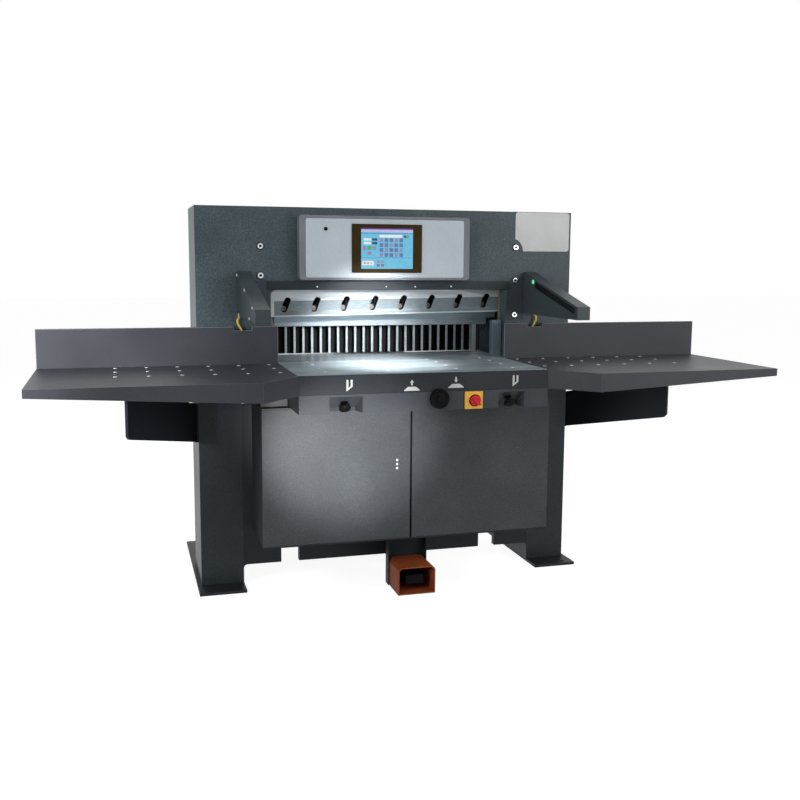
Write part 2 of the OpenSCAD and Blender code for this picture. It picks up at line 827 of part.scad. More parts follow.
module pulley(z, bore_r) {
    difference() {
        union() {
            rod_y(pulley_r, pulley_y0 + 2, pulley_y0 + pulley_t - 2, 0, z);
            rod_y(pulley_r + 4, pulley_y0, pulley_y0 + 2, 0, z);
            rod_y(pulley_r + 4, pulley_y0 + pulley_t - 2, pulley_y0 + pulley_t, 0, z);
        }
        rod_y(bore_r, pulley_y0 - 1, pulley_y0 + pulley_t + 1, 0, z);
    }
}

module screw_pulley() color([0.60, 0.62, 0.64]) pulley(screw_z, screw_r);

module motor_pulley() color([0.60, 0.62, 0.64]) {
    pulley(motor_z, motor_shaft_r - 1);
    rod_y(motor_shaft_r, plate_y0 - 20, pulley_y0, 0, motor_z);
    rod_y(motor_shaft_r - 1, pulley_y0, pulley_y0 + pulley_t, 0, motor_z);
}

module drive_belt() color([0.08, 0.08, 0.08]) {
    mid = (screw_z + motor_z) / 2;
    translate([0, pulley_y0 + pulley_t - 3, mid]) rotate([90, 0, 0]) linear_extrude(pulley_t - 6)
        difference() {
            rotate(90) stadium(pulley_gap + 2 * pulley_r + 7, 2 * pulley_r + 7);
            rotate(90) stadium(pulley_gap + 2 * pulley_r + 0.6, 2 * pulley_r + 0.6);
        }
}

module gauge_motor() color([0.18, 0.20, 0.23]) {
    difference() {
        union() {
            rod_y(50, plate_y0 - motor_len, plate_y0, 0, motor_z);
            box([-56, plate_y0 - 14, motor_z - 52], [56, plate_y0, motor_z + 52]);
        }
        rod_y(motor_shaft_r + run_gap, plate_y0 - 30, plate_y0 + 1, 0, motor_z);
    }
}

module screw_bearings() color([0.38, 0.40, 0.42]) {
    difference() {
        box([-40, bearing_front, screw_z - 30], [40, bearing_front + 25, table_under]);
        rod_y(screw_r + run_gap, bearing_front - 1, bearing_front + 26, 0, screw_z);
    }
    difference() {
        box([-60, plate_y0, motor_z - 56], [60, plate_y0 + plate_t, table_under]);
        rod_y(screw_r + run_gap, plate_y0 - 1, plate_y0 + plate_t + 1, 0, screw_z);
        rod_y(motor_shaft_r + run_gap, plate_y0 - 1, plate_y0 + plate_t + 1, 0, motor_z);
    }
}

// ---------------------------------------------------------------- cabinet

half_cabinet = cabinet_w / 2;
door_w = half_cabinet - door_gap / 2;
pin_x = half_cabinet - 8;
pin_y = door_front + door_t / 2 - 1;
pin_grip = 24;
lid_t = 5;

module cabinet() color([0.20, 0.21, 0.23]) {
    lid_z = door_top + 1;
    sill_z = door_z - 1 - lid_t;
    difference() {
        union() {
            box([-half_cabinet, door_front, lid_z], [half_cabinet, frame_front, lid_z + lid_t]);
            box([-half_cabinet, door_front, sill_z], [half_cabinet, frame_front, sill_z + lid_t]);
            for (s = [-1, 1]) {
                x0 = s > 0 ? half_cabinet - cabinet_sheet : -half_cabinet;
                box([x0, cabinet_front, sill_z], [x0 + cabinet_sheet, frame_front, lid_z + lid_t]);
                // Upright strip on the lid, beside the control box
                x1 = s > 0 ? half_front + 2 : -half_cabinet;
                box([x1, cabinet_front, lid_z], [x1 + half_cabinet - half_front - 2,
                    cabinet_front + cabinet_sheet, table_h - side_drop - skirt_inner - 3]);
            }
        }
        for (s = [-1, 1]) translate([s * pin_x, pin_y, sill_z - 1])
            cylinder(r = pin_r + 0.02, h = lid_z + lid_t - sill_z + 2);
    }
}

// Right-hand door: a pan with a hollow back and two hinge bores
module door_pan() {
    wall = 4;
    difference() {
        box([door_gap / 2, door_front, door_z], [half_cabinet, door_back, door_top]);
        box([door_gap / 2 + 20, door_front + wall, door_z + 30],
            [half_cabinet - 24, door_back + 1, door_top - 30]);
        for (z = [door_z - 1, door_top - pin_grip - 1]) translate([pin_x, pin_y, z])
            cylinder(r = pin_r + run_gap, h = pin_grip + 2);
    }
}

module right_door() color([0.27, 0.28, 0.30]) door_pan();

module left_door() color([0.33, 0.34, 0.36]) mirror([1, 0, 0]) door_pan();

module hinge_pins() color([0.75, 0.76, 0.78]) {
    for (s = [-1, 1]) {
        translate([s * pin_x, pin_y, door_top - pin_grip]) cylinder(r = pin_r, h = pin_grip + 1 + lid_t);
        translate([s * pin_x, pin_y, door_z - 1 - lid_t]) cylinder(r = pin_r, h = pin_grip + 1 + lid_t);
    }
}

module oil_tank() color([0.30, 0.32, 0.34]) {
    z0 = door_z - 1;
    box([-540, cabinet_front + 20, z0], [-60, frame_front - 20, z0 + 200]);
    translate([-480, cabinet_front + 60, z0 + 200]) cylinder(r = 24, h = 22);
}

module pump_unit() color([0.20, 0.28, 0.38]) {
    z0 = door_z + 199;
    y = (cabinet_front + frame_front) / 2;
    axis_z = z0 + 100;
    rod_x(80, -400, -170, y, axis_z);
    rod_x(45, -170, -90, y, axis_z);
    box([-370, y - 70, z0], [-210, y + 70, axis_z - 40]);
}

module electrical_box() color([0.62, 0.63, 0.64]) {
    z0 = door_z - 1;
    y1 = frame_front - 10;
    wall = 3;
    difference() {
        box([80, cabinet_front + 40, z0], [540, y1, z0 + 420]);
        box([80 + wall, cabinet_front + 39, z0 + wall], [540 - wall, y1 - wall, z0 + 420 - wall]);
    }
    for (row = [0 : 2], i = [0 : 3]) {
        x = 110 + i * 105;
        z = z0 + 30 + row * 130;
        box([x, y1 - wall - 70, z], [x + 85, y1 - wall + 1, z + 95]);
    }
}

// ---------------------------------------------------------------- front controls

apron_t = 12;
module front_apron() color([0.20, 0.21, 0.23]) {
    box([-half_front, table_front, apron_z], [half_front, table_front + apron_t, table_h - 1]);
}

button_x = [-311, 333];
recess_left = [-61, -52];
recess_right = [49, 40];
recess_back = 66;
face_angle = 53;
recess_top = apron_z - 8;

// Hand recess: open at the front and below, with a sloping back
module hand_recess(i) {
    x0 = button_x[i] + recess_left[i];
    x1 = button_x[i] + recess_right[i];
    intersection() {
        side_profile(x0, x1 + 20, [
            [table_front - 1, box_z - 1], [table_front - 1, recess_top],
            [table_front + recess_back, recess_top - recess_back / tan(face_angle)],
            [table_front + recess_back, box_z - 1]]);
        translate([0, 0, box_z - 2]) linear_extrude(box_h) polygon([
            [x0, table_front - 2], [x1 + 14, table_front - 2], [x1, table_front + recess_back],
            [x0, table_front + recess_back]]);
    }
}

// Backing of a recess, one sheet thicker all round
module recess_shell(i) {
    x0 = button_x[i] + recess_left[i] - box_sheet;
    x1 = button_x[i] + recess_right[i] + 14 + box_sheet;
    side_profile(x0, x1, [
        [table_front, box_z], [table_front, apron_z - 1],
        [table_front + recess_back + box_sheet, recess_top - recess_back / tan(face_angle) + 10],
        [table_front + recess_back + box_sheet, box_z]]);
}

button_back = 34;
module control_box() color([0.31, 0.33, 0.36]) {
    difference() {
        union() {
            difference() {
                union() {
                    box([-half_front, table_front, box_z], [half_front, frame_front, apron_z]);
                    box([-half_front, table_front + apron_t, apron_z - 1],
                        [half_front, frame_front, table_under]);
                }
                box([-half_front + box_sheet, table_front + apron_t + box_sheet, box_z + box_sheet],
                    [half_front - box_sheet, frame_front - box_sheet, table_under + 1]);
                box([-half_front + box_sheet, table_front + box_sheet, box_z + box_sheet],
                    [half_front - box_sheet, table_front + apron_t + box_sheet + 1, apron_z - 8]);
            }
            for (i = [0, 1]) recess_shell(i);
        }
        for (i = [0, 1]) hand_recess(i);
        for (i = [0, 1]) at_button(i) translate([0, 0, -20]) cylinder(r = 8 + run_gap, h = 40);
        translate([wheel_x, 0, 0]) rod_y(6 + run_gap, table_front - 1, table_front + 9, 0, wheel_z);
        rod_y(5 + run_gap, table_front - 1, table_front + 9, switch_hub_x, switch_z - 1);
    }
}

// Frame of a cut button: origin on the sloping face, +Z out of it
module at_button(i) {
    translate([button_x[i], table_front + button_back, recess_top - button_back / tan(face_angle)])
        rotate([90 + face_angle, 0, 0]) children();
}

module cut_button() {
    translate([0, 0, -16]) cylinder(r = 8, h = 36);
    translate([0, 0, 18]) cylinder(r = button_r - 3, h = 6);
    translate([0, 0, 24]) cylinder(r1 = button_r, r2 = button_r - 5, h = 9);
}

module left_cut_button() color([0.06, 0.06, 0.07]) at_button(0) cut_button();

module right_cut_button() color([0.06, 0.06, 0.07]) at_button(1) cut_button();

wheel_z = apron_z - 26;
module handwheel() color([0.08, 0.08, 0.09]) {
    rod_y(6, table_front - 2, table_front + 8, wheel_x, wheel_z);
    rod_y(wheel_r, table_front - 18, table_front - 1, wheel_x, wheel_z);
    rod_y(wheel_r - 5, table_front - 22, table_front - 17, wheel_x, wheel_z);
}

switch_z = box_z + 34;
switch_hub_x = switch_x + 4;
module switch_plate() color([0.93, 0.72, 0.25]) {
    difference() {
        box([switch_x - switch_w / 2, table_front - 6, switch_z - 33],
            [switch_x + switch_w / 2, table_front, switch_z + 33]);
        rod_y(5 + run_gap, table_front - 7, table_front + 1, switch_hub_x, switch_z - 1);
    }
}

module switch_knob() color([0.75, 0.12, 0.16]) {
    translate([switch_hub_x, 0, switch_z - 1]) {
        rod_y(5, table_front - 10, table_front + 8);
        rod_y(19, table_front - 15, table_front - 6.5);
        translate([0, table_front - 14, 0]) rotate([90, 45, 0]) linear_extrude(11)
            translate([6, 0]) stadium(34, 11);
    }
}

// ---------------------------------------------------------------- foot pedal

guard_y0 = door_front - 11;
guard_z0 = guard_clear;
guard_cut = 12;
pedal_pivot_y = guard_y0 + guard_d - 34;
pedal_pivot_z = guard_z0 + 34;
channel_wall = 4;

module guard_outline(inset) {
    w = guard_w / 2 - inset;
    top = guard_h - inset;
    c = guard_cut - 0.4 * inset;
    polygon([[-w, inset], [-w, top - c], [-w + c, top], [w - c, top], [w, top - c], [w, inset]]);
}

module pedal_guard() color([0.63, 0.30, 0.19]) {
    translate([guard_x, guard_y0 + guard_d, guard_z0]) rotate([90, 0, 0]) difference() {
        linear_extrude(guard_d) guard_outline(0);
        translate([0, 0, guard_wall]) linear_extrude(guard_d) guard_outline(guard_wall);
    }
}

module foot_pedal() color([0.07, 0.07, 0.08]) {
    difference() {
        translate([guard_x, 0, 0]) side_profile(-38, 38, [
            [guard_y0 + 34, pedal_pivot_z - 1], [guard_y0 + 34, pedal_pivot_z + 36],
            [pedal_pivot_y - 30, pedal_pivot_z + 44], [pedal_pivot_y + 14, pedal_pivot_z + 24],
            [pedal_pivot_y + 14, pedal_pivot_z - 10], [pedal_pivot_y - 16, pedal_pivot_z - 10]]);
        rod_x(pin_r + run_gap, guard_x - 40, guard_x + 40, pedal_pivot_y, pedal_pivot_z);
    }
}

module pedal_pin() color([0.75, 0.76, 0.78]) {
    reach = guard_w / 2 - guard_wall;
    rod_x(pin_r, guard_x - reach, guard_x + reach, pedal_pivot_y, pedal_pivot_z);
}

module pedal_bracket() color([0.08, 0.08, 0.09]) {
    y1 = guard_y0 + guard_d + 12;
    y0 = guard_y0 + guard_d - 30;
    half = guard_w / 2 + 1 + channel_wall;
    top = door_z - 1 - lid_t;
    for (s = [-1, 1]) {
        x0 = s > 0 ? guard_x + half - channel_wall : guard_x - half;
        box([x0, y0, guard_z0], [x0 + channel_wall, y1, top]);
    }
    box([guard_x - half, y1 - channel_wall, guard_z0 + 60], [guard_x + half, y1, top]);
    box([guard_x - half, y0, top - channel_wall], [guard_x + half, y1, top]);
    // Shelf that carries the guard's rear edge
    box([guard_x - half, guard_y0 + guard_d, guard_z0 + 60],
        [guard_x + half, y1, guard_z0 + 60 + channel_wall]);
}

// ---------------------------------------------------------------- light-curtain arms

arm_slope = atan2(arm_back_h - arm_front_h, arm_reach);
arm_front = frame_front - arm_reach;
lens_len = 390;
lens_h = 26;

// Lens window: origin at the arm's upper front corner, +X back along the sloping edge
module along_arm() {
    translate([0, arm_front, arm_z + arm_front_h]) rotate([arm_slope, 0, 0]) children();
}

module light_guard() {
    difference() {
        side_profile(arm_x, arm_x + arm_w, [
            [frame_front, arm_z], [frame_front, arm_z + arm_back_h],
            [arm_front, arm_z + arm_front_h], [arm_front, arm_z]]);
        side_profile(arm_x + arm_sheet, arm_x + arm_w - arm_sheet, [
            [frame_front - arm_sheet, arm_z + arm_sheet],
            [frame_front - arm_sheet, arm_z + arm_back_h - 1.6 * arm_sheet],
            [arm_front + arm_sheet, arm_z + arm_front_h - arm_sheet],
            [arm_front + arm_sheet, arm_z + arm_sheet]]);
        along_arm() box([arm_x - 1, 20, -10 - lens_h], [arm_x + arm_sheet + 1, 20 + lens_len, -10]);
    }
}

module light_guards() color([0.22, 0.24, 0.26]) {
    for (s = [0, 1]) mirror([s, 0, 0]) light_guard();
}

module light_curtains() color([0.05, 0.05, 0.06]) {
    for (s = [0, 1]) mirror([s, 0, 0]) along_arm() {
        box([arm_x + 1, 20.5, -9.5 - lens_h], [arm_x + arm_sheet, 19.5 + lens_len, -10.5]);
        box([arm_x + arm_sheet, 16, -12 - lens_h], [arm_x + 24, 24 + lens_len, -8]);
    }
}

// Swept tube: rings of points square to the route
function unit(v) = v / norm(v);
function heading(p, i) =
    i == 0 ? unit(p[1] - p[0]) :
    i == len(p) - 1 ? unit(p[i] - p[i - 1]) : unit(p[i + 1] - p[i - 1]);
function ring(p, i, r, n) =
    let (t = heading(p, i), u = unit(cross(t, [0.31, 0.93, 0.2])), v = cross(t, u))
    [for (k = [0 : n - 1]) p[i] + r * (cos(360 * k / n) * u + sin(360 * k / n) * v)];

// Smooth curve through hand-chosen points
function spline(a, b, c, d, t) = 0.5 * (2 * b + (c - a) * t + (2 * a - 5 * b + 4 * c - d) * t * t
    + (3 * b - a - 3 * c + d) * t * t * t);
function smooth(p, steps) = [
    for (i = [0 : len(p) - 2], s = [0 : steps - 1])
        spline(p[max(i - 1, 0)], p[i], p[i + 1], p[min(i + 2, len(p) - 1)], s / steps),
    p[len(p) - 1]];

module tube(route, r, n) {
    rings = [for (i = [0 : len(route) - 1]) each ring(route, i, r, n)];
    last = len(route) - 1;
    sides = [for (i = [0 : last - 1], k = [0 : n - 1])
        each [[i * n + k, i * n + (k + 1) % n, (i + 1) * n + (k + 1) % n],
            [i * n + k, (i + 1) * n + (k + 1) % n, (i + 1) * n + k]]];
    caps = concat([for (k = [1 : n - 2]) [0, k + 1, k]],
        [for (k = [1 : n - 2]) [last * n, last * n + k, last * n + k + 1]]);
    polyhedron(points = rings, faces = concat(sides, caps));
}

cable_r = 4;
cable_gap = 0.4;
cable_route = [
    [arm_x + 49, frame_front - 16, arm_z - cable_gap], [arm_x + 49, frame_front - 16, arm_z - 6],
    [arm_x + 54, frame_front - 16, arm_z - 13],
    [arm_x + 57, frame_front - 16, arm_z - 20], [arm_x + 52, frame_front - 16, arm_z - 38],
    [arm_x + 41, frame_front - 16, arm_z - 54], [arm_x + 32, frame_front - 16, arm_z - 72],
    [arm_x + 28, frame_front - 12, arm_z - 90], [arm_x + 28, frame_front - 5, arm_z - 91],
    [arm_x + 28, frame_front - cable_gap, arm_z - 91]];

module guard_cables() color([0.88, 0.72, 0.25]) {
    for (s = [0, 1]) mirror([s, 0, 0]) tube(smooth(cable_route, 4), cable_r, 10);
}

// ---------------------------------------------------------------- display

display_y = frame_front - display_d;
display_mid = display_z + display_h / 2;
panel_w = display_w - 2 * display_rim;
panel_h = display_h - 2 * display_rim + 30;
panel_z = display_mid - 1;
screen_x = display_x + 2;

module display_housing() color([0.51, 0.50, 0.55]) {
    wall = 4;
    difference() {
        round_plate(display_w, display_h, 14, display_y, frame_front, display_x, display_mid);
        round_plate(panel_w + 1, panel_h + 1, 8, display_y - 1, display_y + 6, display_x, panel_z);
        round_plate(display_w - 2 * wall, display_h - 2 * wall, 10, display_y + 6 + wall,
            frame_front + 1, display_x, display_mid);
    }
}

module display_panel() color([0.74, 0.78, 0.84]) {
    difference() {
        round_plate(panel_w, panel_h, 8, display_y + 1, display_y + 6, display_x, panel_z);
        round_plate(screen_w - 6, screen_h - 6, 2, display_y, display_y + 7, screen_x, panel_z);
    }
}

module touch_screen() color([0.29, 0.20, 0.10]) {
    glass_w = screen_w - 76;
    glass_h = screen_h - 32;
    difference() {
        union() {
            round_plate(screen_w, screen_h, 3, display_y - 3, display_y + 1, screen_x, panel_z);
            round_plate(screen_w - 6.4, screen_h - 6.4, 2, display_y + 0.5, display_y + 6,
                screen_x, panel_z);
        }
        round_plate(glass_w, glass_h, 2, display_y - 4, display_y - 1, screen_x, panel_z);
    }
}

module frame_bolts() color([0.75, 0.77, 0.79]) {
    at_frame_bolts() difference() {
        union() {
            rod_y(15, -3, 0);
            rod_y(11, -6, 0);
            rod_y(bolt_r, -1, bolt_grip);
        }
        translate([0, -7, 0]) rotate([-90, 0, 0]) cylinder(r = 6, h = 5, $fn = 6);
    }
}

left_upright();
right_upright();
head_beam();
table_beam();
base_beam();
foot_plates();
rear_pedestal();
main_table();
rear_table();
cutting_stick();
throat_guides();
air_nozzles();
knife_gibs();
knife_guide_rails();
knife_slide_block();
knife_rod();
knife_cylinder();
knife_beam();
knife_blade();
knife_bolts();
clamp();
clamp_rods();
clamp_cylinder();
clamp_bushes();
back_gauge();
lead_screw();
screw_pulley();
motor_pulley();
drive_belt();
gauge_motor();
screw_bearings();
cabinet();
left_door();
right_door();
hinge_pins();
front_apron();
control_box();
left_cut_button();
right_cut_button();
handwheel();
switch_plate();
switch_knob();
pedal_guard();
foot_pedal();
pedal_bracket();
pedal_pin();
left_side_table();
right_side_table();
upstands();
table_brackets();
light_guards();
light_curtains();
display_housing();
display_panel();
touch_screen();
frame_bolts();
guard_cables();
oil_tank();
pump_unit();
electrical_box();
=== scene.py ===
"""Guillotine paper cutter with side tables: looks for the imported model, in metres, +Z up, +Y to the rear."""

import json
import math

import bmesh
import bpy
from mathutils import Matrix, Vector

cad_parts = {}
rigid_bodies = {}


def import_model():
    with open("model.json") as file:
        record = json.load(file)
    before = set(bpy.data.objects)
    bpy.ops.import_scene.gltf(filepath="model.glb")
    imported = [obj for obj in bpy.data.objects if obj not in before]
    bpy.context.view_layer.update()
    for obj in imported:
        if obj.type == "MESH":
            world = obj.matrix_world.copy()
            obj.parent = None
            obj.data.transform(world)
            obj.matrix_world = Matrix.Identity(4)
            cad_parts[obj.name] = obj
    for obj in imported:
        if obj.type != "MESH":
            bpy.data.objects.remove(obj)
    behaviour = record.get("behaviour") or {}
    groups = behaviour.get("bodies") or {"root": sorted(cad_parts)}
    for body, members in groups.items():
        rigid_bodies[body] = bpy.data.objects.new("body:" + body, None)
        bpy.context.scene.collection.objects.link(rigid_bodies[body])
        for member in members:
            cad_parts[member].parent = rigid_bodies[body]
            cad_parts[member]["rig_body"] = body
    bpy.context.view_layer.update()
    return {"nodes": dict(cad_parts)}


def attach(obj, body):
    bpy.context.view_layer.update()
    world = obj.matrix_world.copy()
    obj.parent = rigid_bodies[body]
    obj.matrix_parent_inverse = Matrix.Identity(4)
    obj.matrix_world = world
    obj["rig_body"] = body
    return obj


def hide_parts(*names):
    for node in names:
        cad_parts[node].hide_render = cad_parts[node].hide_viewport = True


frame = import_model()
nodes = frame["nodes"]
scene = bpy.context.scene
scene.view_settings.view_transform = "Standard"

# ---------------------------------------------------------------- camera
# One step to the left of the machine and a little above its table, looking slightly down,
# as the photographer stood. The small shift gives the photograph's framing.
EYE = Vector((-1.09792, -4.21773, 1.33585))
YAW, PITCH, ROLL = math.radians(16.23), math.radians(7.79), math.radians(0.39)

ahead = Vector((math.sin(YAW) * math.cos(PITCH), math.cos(YAW) * math.cos(PITCH), -math.sin(PITCH)))
level_right = Vector((math.cos(YAW), -math.sin(YAW), 0))
level_up = level_right.cross(ahead)
right = level_right * math.cos(ROLL) + level_up * math.sin(ROLL)
up = level_up * math.cos(ROLL) - level_right * math.sin(ROLL)
camera = bpy.data.objects.new("camera", bpy.data.cameras.new("camera"))
scene.collection.objects.link(camera)
camera.matrix_world = Matrix.Translation(EYE) @ Matrix((right, up, -ahead)).transposed().to_4x4()
camera.data.lens = 44.2
camera.data.shift_x = -0.0036
camera.data.shift_y = -0.0077
scene.camera = camera

# ---------------------------------------------------------------- room
# A white floor in a white room. Soft boxes stand at the left, at the right, overhead and behind.
# Round lamps make pools of light in the throat, on the table, on the left door and the left side
# table.


def rgb(red, green, blue):
    """A colour as a picture shows it, 0 to 255, as the linear colour that shaders take."""
    parts = [(c / 255 / 12.92 if c < 10 else ((c / 255 + 0.055) / 1.055) ** 2.4) for c in (red, green, blue)]
    return (*parts, 1.0)


class Wire:
    """An output in a finish's node tree. Arithmetic on it adds Math nodes."""

    def __init__(self, tree, socket=None):
        self.tree, self.socket = tree, socket

    def add(self, kind, sockets=(), output=0, stops=None, **settings):
        """A node of that kind: its settings and a ramp's (place, colour) stops first, then the values
        or wires of its sockets."""
        node = self.tree.nodes.new(kind)
        for setting, value in settings.items():
            setattr(node, setting, value)
        if stops:
            first, *middle, last = stops
            node.color_ramp.elements[0].position, node.color_ramp.elements[0].color = first
            node.color_ramp.elements[1].position, node.color_ramp.elements[1].color = last
            for place, colour in middle:
                node.color_ramp.elements.new(place).color = colour
        for socket, value in dict(sockets).items():
            if isinstance(value, Wire):
                self.tree.links.new(value.socket, node.inputs[socket])
            else:
                node.inputs[socket].default_value = value
        return Wire(self.tree, node.outputs[output]) if node.outputs else None

    def maths(self, operation, *values):
        """A Math node on values or wires."""
        return self.add("ShaderNodeMath", enumerate(values), operation=operation)

    def __add__(self, other):
        return self.maths("ADD", self, other)

    def __mul__(self, other):
        return self.maths("MULTIPLY", self, other)

    def __gt__(self, other):
        return self.maths("GREATER_THAN", self, other)

    def __lt__(self, other):
        return self.maths("LESS_THAN", self, other)

    __radd__, __rmul__ = __add__, __mul__


def new_tree(owner):
    """An empty node tree of a material or a world, as a wire to add nodes from."""
    owner.use_nodes = True
    owner.node_tree.nodes.clear()
    return Wire(owner.node_tree)


def seen(tree):
    """1 where the eye looks, straight, in a mirror or through glass; 0 for light on its way to a piece."""
    straight = tree.add("ShaderNodeLightPath", output="Is Camera Ray")
    mirrored = tree.add("ShaderNodeLightPath", output="Is Glossy Ray")
    through = tree.add("ShaderNodeLightPath", output="Is Transmission Ray")
    return (straight + mirrored + through) > 0.5


WHITE = (1, 1, 1, 1)
ROOM_SEEN, ROOM_LIGHT, FLOOR_SEEN = 1.0, 0.2, 0.90
scene.world = scene.world or bpy.data.worlds.new("sky")
sky = new_tree(scene.world)
backdrop = sky.add("ShaderNodeBackground", {
    "Color": WHITE, "Strength": seen(sky) * (ROOM_SEEN - ROOM_LIGHT) + ROOM_LIGHT})
sky.add("ShaderNodeOutputWorld", {"Surface": backdrop})

floor_paint = bpy.data.materials.new("studio_floor")
sheet = new_tree(floor_paint)
lit = sheet.add("ShaderNodeBsdfDiffuse", {"Color": (0.42, 0.42, 0.42, 1)})
glow = sheet.add("ShaderNodeEmission", {"Color": WHITE, "Strength": FLOOR_SEEN})
both = sheet.add("ShaderNodeAddShader", {0: lit, 1: glow})
sheet.add("ShaderNodeOutputMaterial", {"Surface": sheet.add(
    "ShaderNodeMixShader", {0: seen(sheet), 1: lit, 2: both})})
bpy.ops.mesh.primitive_plane_add(size=60, location=(0, 0, 0))
floor = bpy.context.object
floor.name = "studio_floor"
floor.data.materials.append(floor_paint)


def aim(name, lamp, place, target):
    """Stands the lamp at a place and turns it to a target."""
    stand = bpy.data.objects.new(name, lamp)
    scene.collection.objects.link(stand)
    stand.location = place
    stand.rotation_euler = (Vector(target) - Vector(place)).to_track_quat("-Z", "Y").to_euler()


def soft_box(name, place, target, size, power):
    """A square studio lamp, size metres wide."""
    lamp = bpy.data.lights.new(name, "AREA")
    lamp.size, lamp.energy = size, power
    aim(name, lamp, place, target)


soft_box("left_lamp", (-3.3, -2.6, 1.7), (-0.9, -0.5, 0.95), 1.4, 58)
soft_box("right_lamp", (2.8, -3.7, 1.6), (0.8, -0.3, 1.1), 1.6, 54)
soft_box("top_lamp", (0, -2.6, 4.2), (0, -0.3, 1.2), 2.4, 30)
soft_box("back_lamp", (0.8, 4.2, 4.0), (0, 0.3, 0.8), 2.4, 60)


def pool_of_light(name, place, target, width, power):
    """A round lamp with a soft rim, width degrees wide."""
    lamp = bpy.data.lights.new(name, "SPOT")
    lamp.energy, lamp.spot_size = power, math.radians(width)
    lamp.spot_blend, lamp.shadow_soft_size = 1.0, 0.06
    aim(name, lamp, place, target)


pool_of_light("throat_lamp", (-0.05, -1.50, 1.40), (-0.09, -0.25, 1.05), 25, 180)
pool_of_light("table_lamp", (-0.05, -0.95, 2.20), (-0.07, -0.46, 0.92), 26, 300)
pool_of_light("door_lamp", (-0.70, -3.0, 0.30), (-0.26, -0.57, 0.64), 19, 520)
pool_of_light("side_lamp", (-2.5, -2.2, 1.15), (-1.40, -0.45, 0.95), 30, 330)

# ---------------------------------------------------------------- uprights and head beam
# Welded steel boxes that carry the knife. Their blue-grey hammered enamel is sprayed on, which
# leaves a fine speckle and shallow dimples; the edges are broken with a hand grinder.
MM = 0.001


def enamel(name, colour, fleck, spread, roughness, dimple, grain=900, gloss=0.3, slot=None, foot=None):
    """Sprayed paint. A fine noise of that grain speckles it from colour to fleck and dimples it; a
    broad one takes up what the spread leaves and moves its roughness. Below a height of foot metres
    it darkens, a painted shade for the shadow that the side tables cast on the legs."""
    finish = bpy.data.materials.new(name)
    finish["slot"] = slot or name
    coat = new_tree(finish)
    place = coat.add("ShaderNodeTexCoord", output="Object")
    fine = coat.add("ShaderNodeTexNoise", {"Vector": place, "Scale": grain, "Detail": 3.0}, "Fac")
    broad = coat.add("ShaderNodeTexNoise", {"Vector": place, "Scale": 5.0, "Detail": 4.0}, "Fac")
    speckle = coat.add("ShaderNodeValToRGB", {"Fac": fine * spread + broad * (1 - spread)}, stops=[
        (0.34, rgb(*[c * 0.80 for c in colour])), (0.52, rgb(*colour)), (0.68, rgb(*fleck))])
    if foot:
        # Painted shade: below the foot height the colour runs down to a near black, standing for the shadow
        # under the side tables.
        height = coat.add("ShaderNodeSeparateXYZ", {"Vector": place}, "Z")
        painted_shade = coat.add("ShaderNodeMapRange", {
            "Value": height + broad * 0.1, "From Min": foot + 0.12, "From Max": foot - 0.05, "To Max": 0.72})
        speckle = coat.add("ShaderNodeMix", {0: painted_shade, 6: speckle, 7: rgb(26, 30, 34)}, 2, data_type="RGBA")
    bump = coat.add("ShaderNodeBump", {"Height": fine, "Strength": 0.5, "Distance": dimple}, "Normal")
    skin = coat.add("ShaderNodeBsdfPrincipled", {
        "Base Color": speckle, "Roughness": broad * 0.16 + (roughness - 0.08), "Normal": bump,
        "Specular IOR Level": gloss})
    coat.add("ShaderNodeOutputMaterial", {"Surface": skin})
    return finish


def alone(piece):
    """Only this piece is selected and active."""
    bpy.ops.object.select_all(action="DESELECT")
    piece.select_set(True)
    bpy.context.view_layer.objects.active = piece


def finished(piece, body, finish):
    """The piece takes its finish, keeps its place in its mesh, and rides on a body."""
    alone(piece)
    bpy.ops.object.transform_apply(location=True, rotation=True, scale=True)
    piece.data.materials.clear()
    piece.data.materials.append(finish)
    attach(piece, body)
    return piece


SHARP = math.radians(35)


def ease_edges(piece, width):
    """Breaks the piece's sharp edges, width mm wide, and keeps its flat faces flat."""
    alone(piece)
    bpy.ops.object.shade_smooth_by_angle(angle=SHARP)
    edge = piece.modifiers.new("edge", "BEVEL")
    edge.width, edge.segments, edge.limit_method = width * MM, 2, "ANGLE"
    edge.angle_limit, edge.harden_normals = SHARP, True
    bpy.ops.object.modifier_apply(modifier=edge.name)


def eased(node, finish, width):
    """A copy of a solid with its edges broken, which stands for that solid."""
    solid = nodes[node]
    piece = bpy.data.objects.new(node + "_eased", solid.data.copy())
    scene.collection.objects.link(piece)
    alone(piece)
    bpy.ops.object.mode_set(mode="EDIT")
    bpy.ops.mesh.select_all(action="SELECT")
    bpy.ops.mesh.remove_doubles(threshold=1e-5)
    bpy.ops.mesh.dissolve_limited(angle_limit=math.radians(1))
    bpy.ops.object.mode_set(mode="OBJECT")
    ease_edges(piece, width)
    finished(piece, solid["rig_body"], finish)
    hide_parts(node)
    return piece


def dressed(node, finish):
    """A solid that is shown as it is, in its finish."""
    nodes[node].data.materials.clear()
    nodes[node].data.materials.append(finish)


# Below 0.86 m the frame paint darkens: painted shade for the shadow of the side tables on the legs.
frame_paint = enamel("frame_paint", (68, 79, 84), (100, 114, 119), 0.75, 0.42, 0.0006, 420, 0.2, foot=0.86)
for node in ("left_upright", "right_upright", "head_beam"):
    eased(node, frame_paint, 2.5)

# ---------------------------------------------------------------- base and legs
# Flame-cut plate in nearly black enamel: the table beam, the base beam, which closes the front
# between the legs and has two notches for a lifting fork, the foot plates that are bolted to the
# floor, and the pedestal under the rear table.
dark_paint = enamel("dark_paint", (40, 44, 48), (58, 63, 67), 0.7, 0.45, 0.0005, 500, 0.15)
for node, width in (("table_beam", 2), ("base_beam", 2), ("foot_plates", 1.5), ("rear_pedestal", 2)):
    eased(node, dark_paint, width)
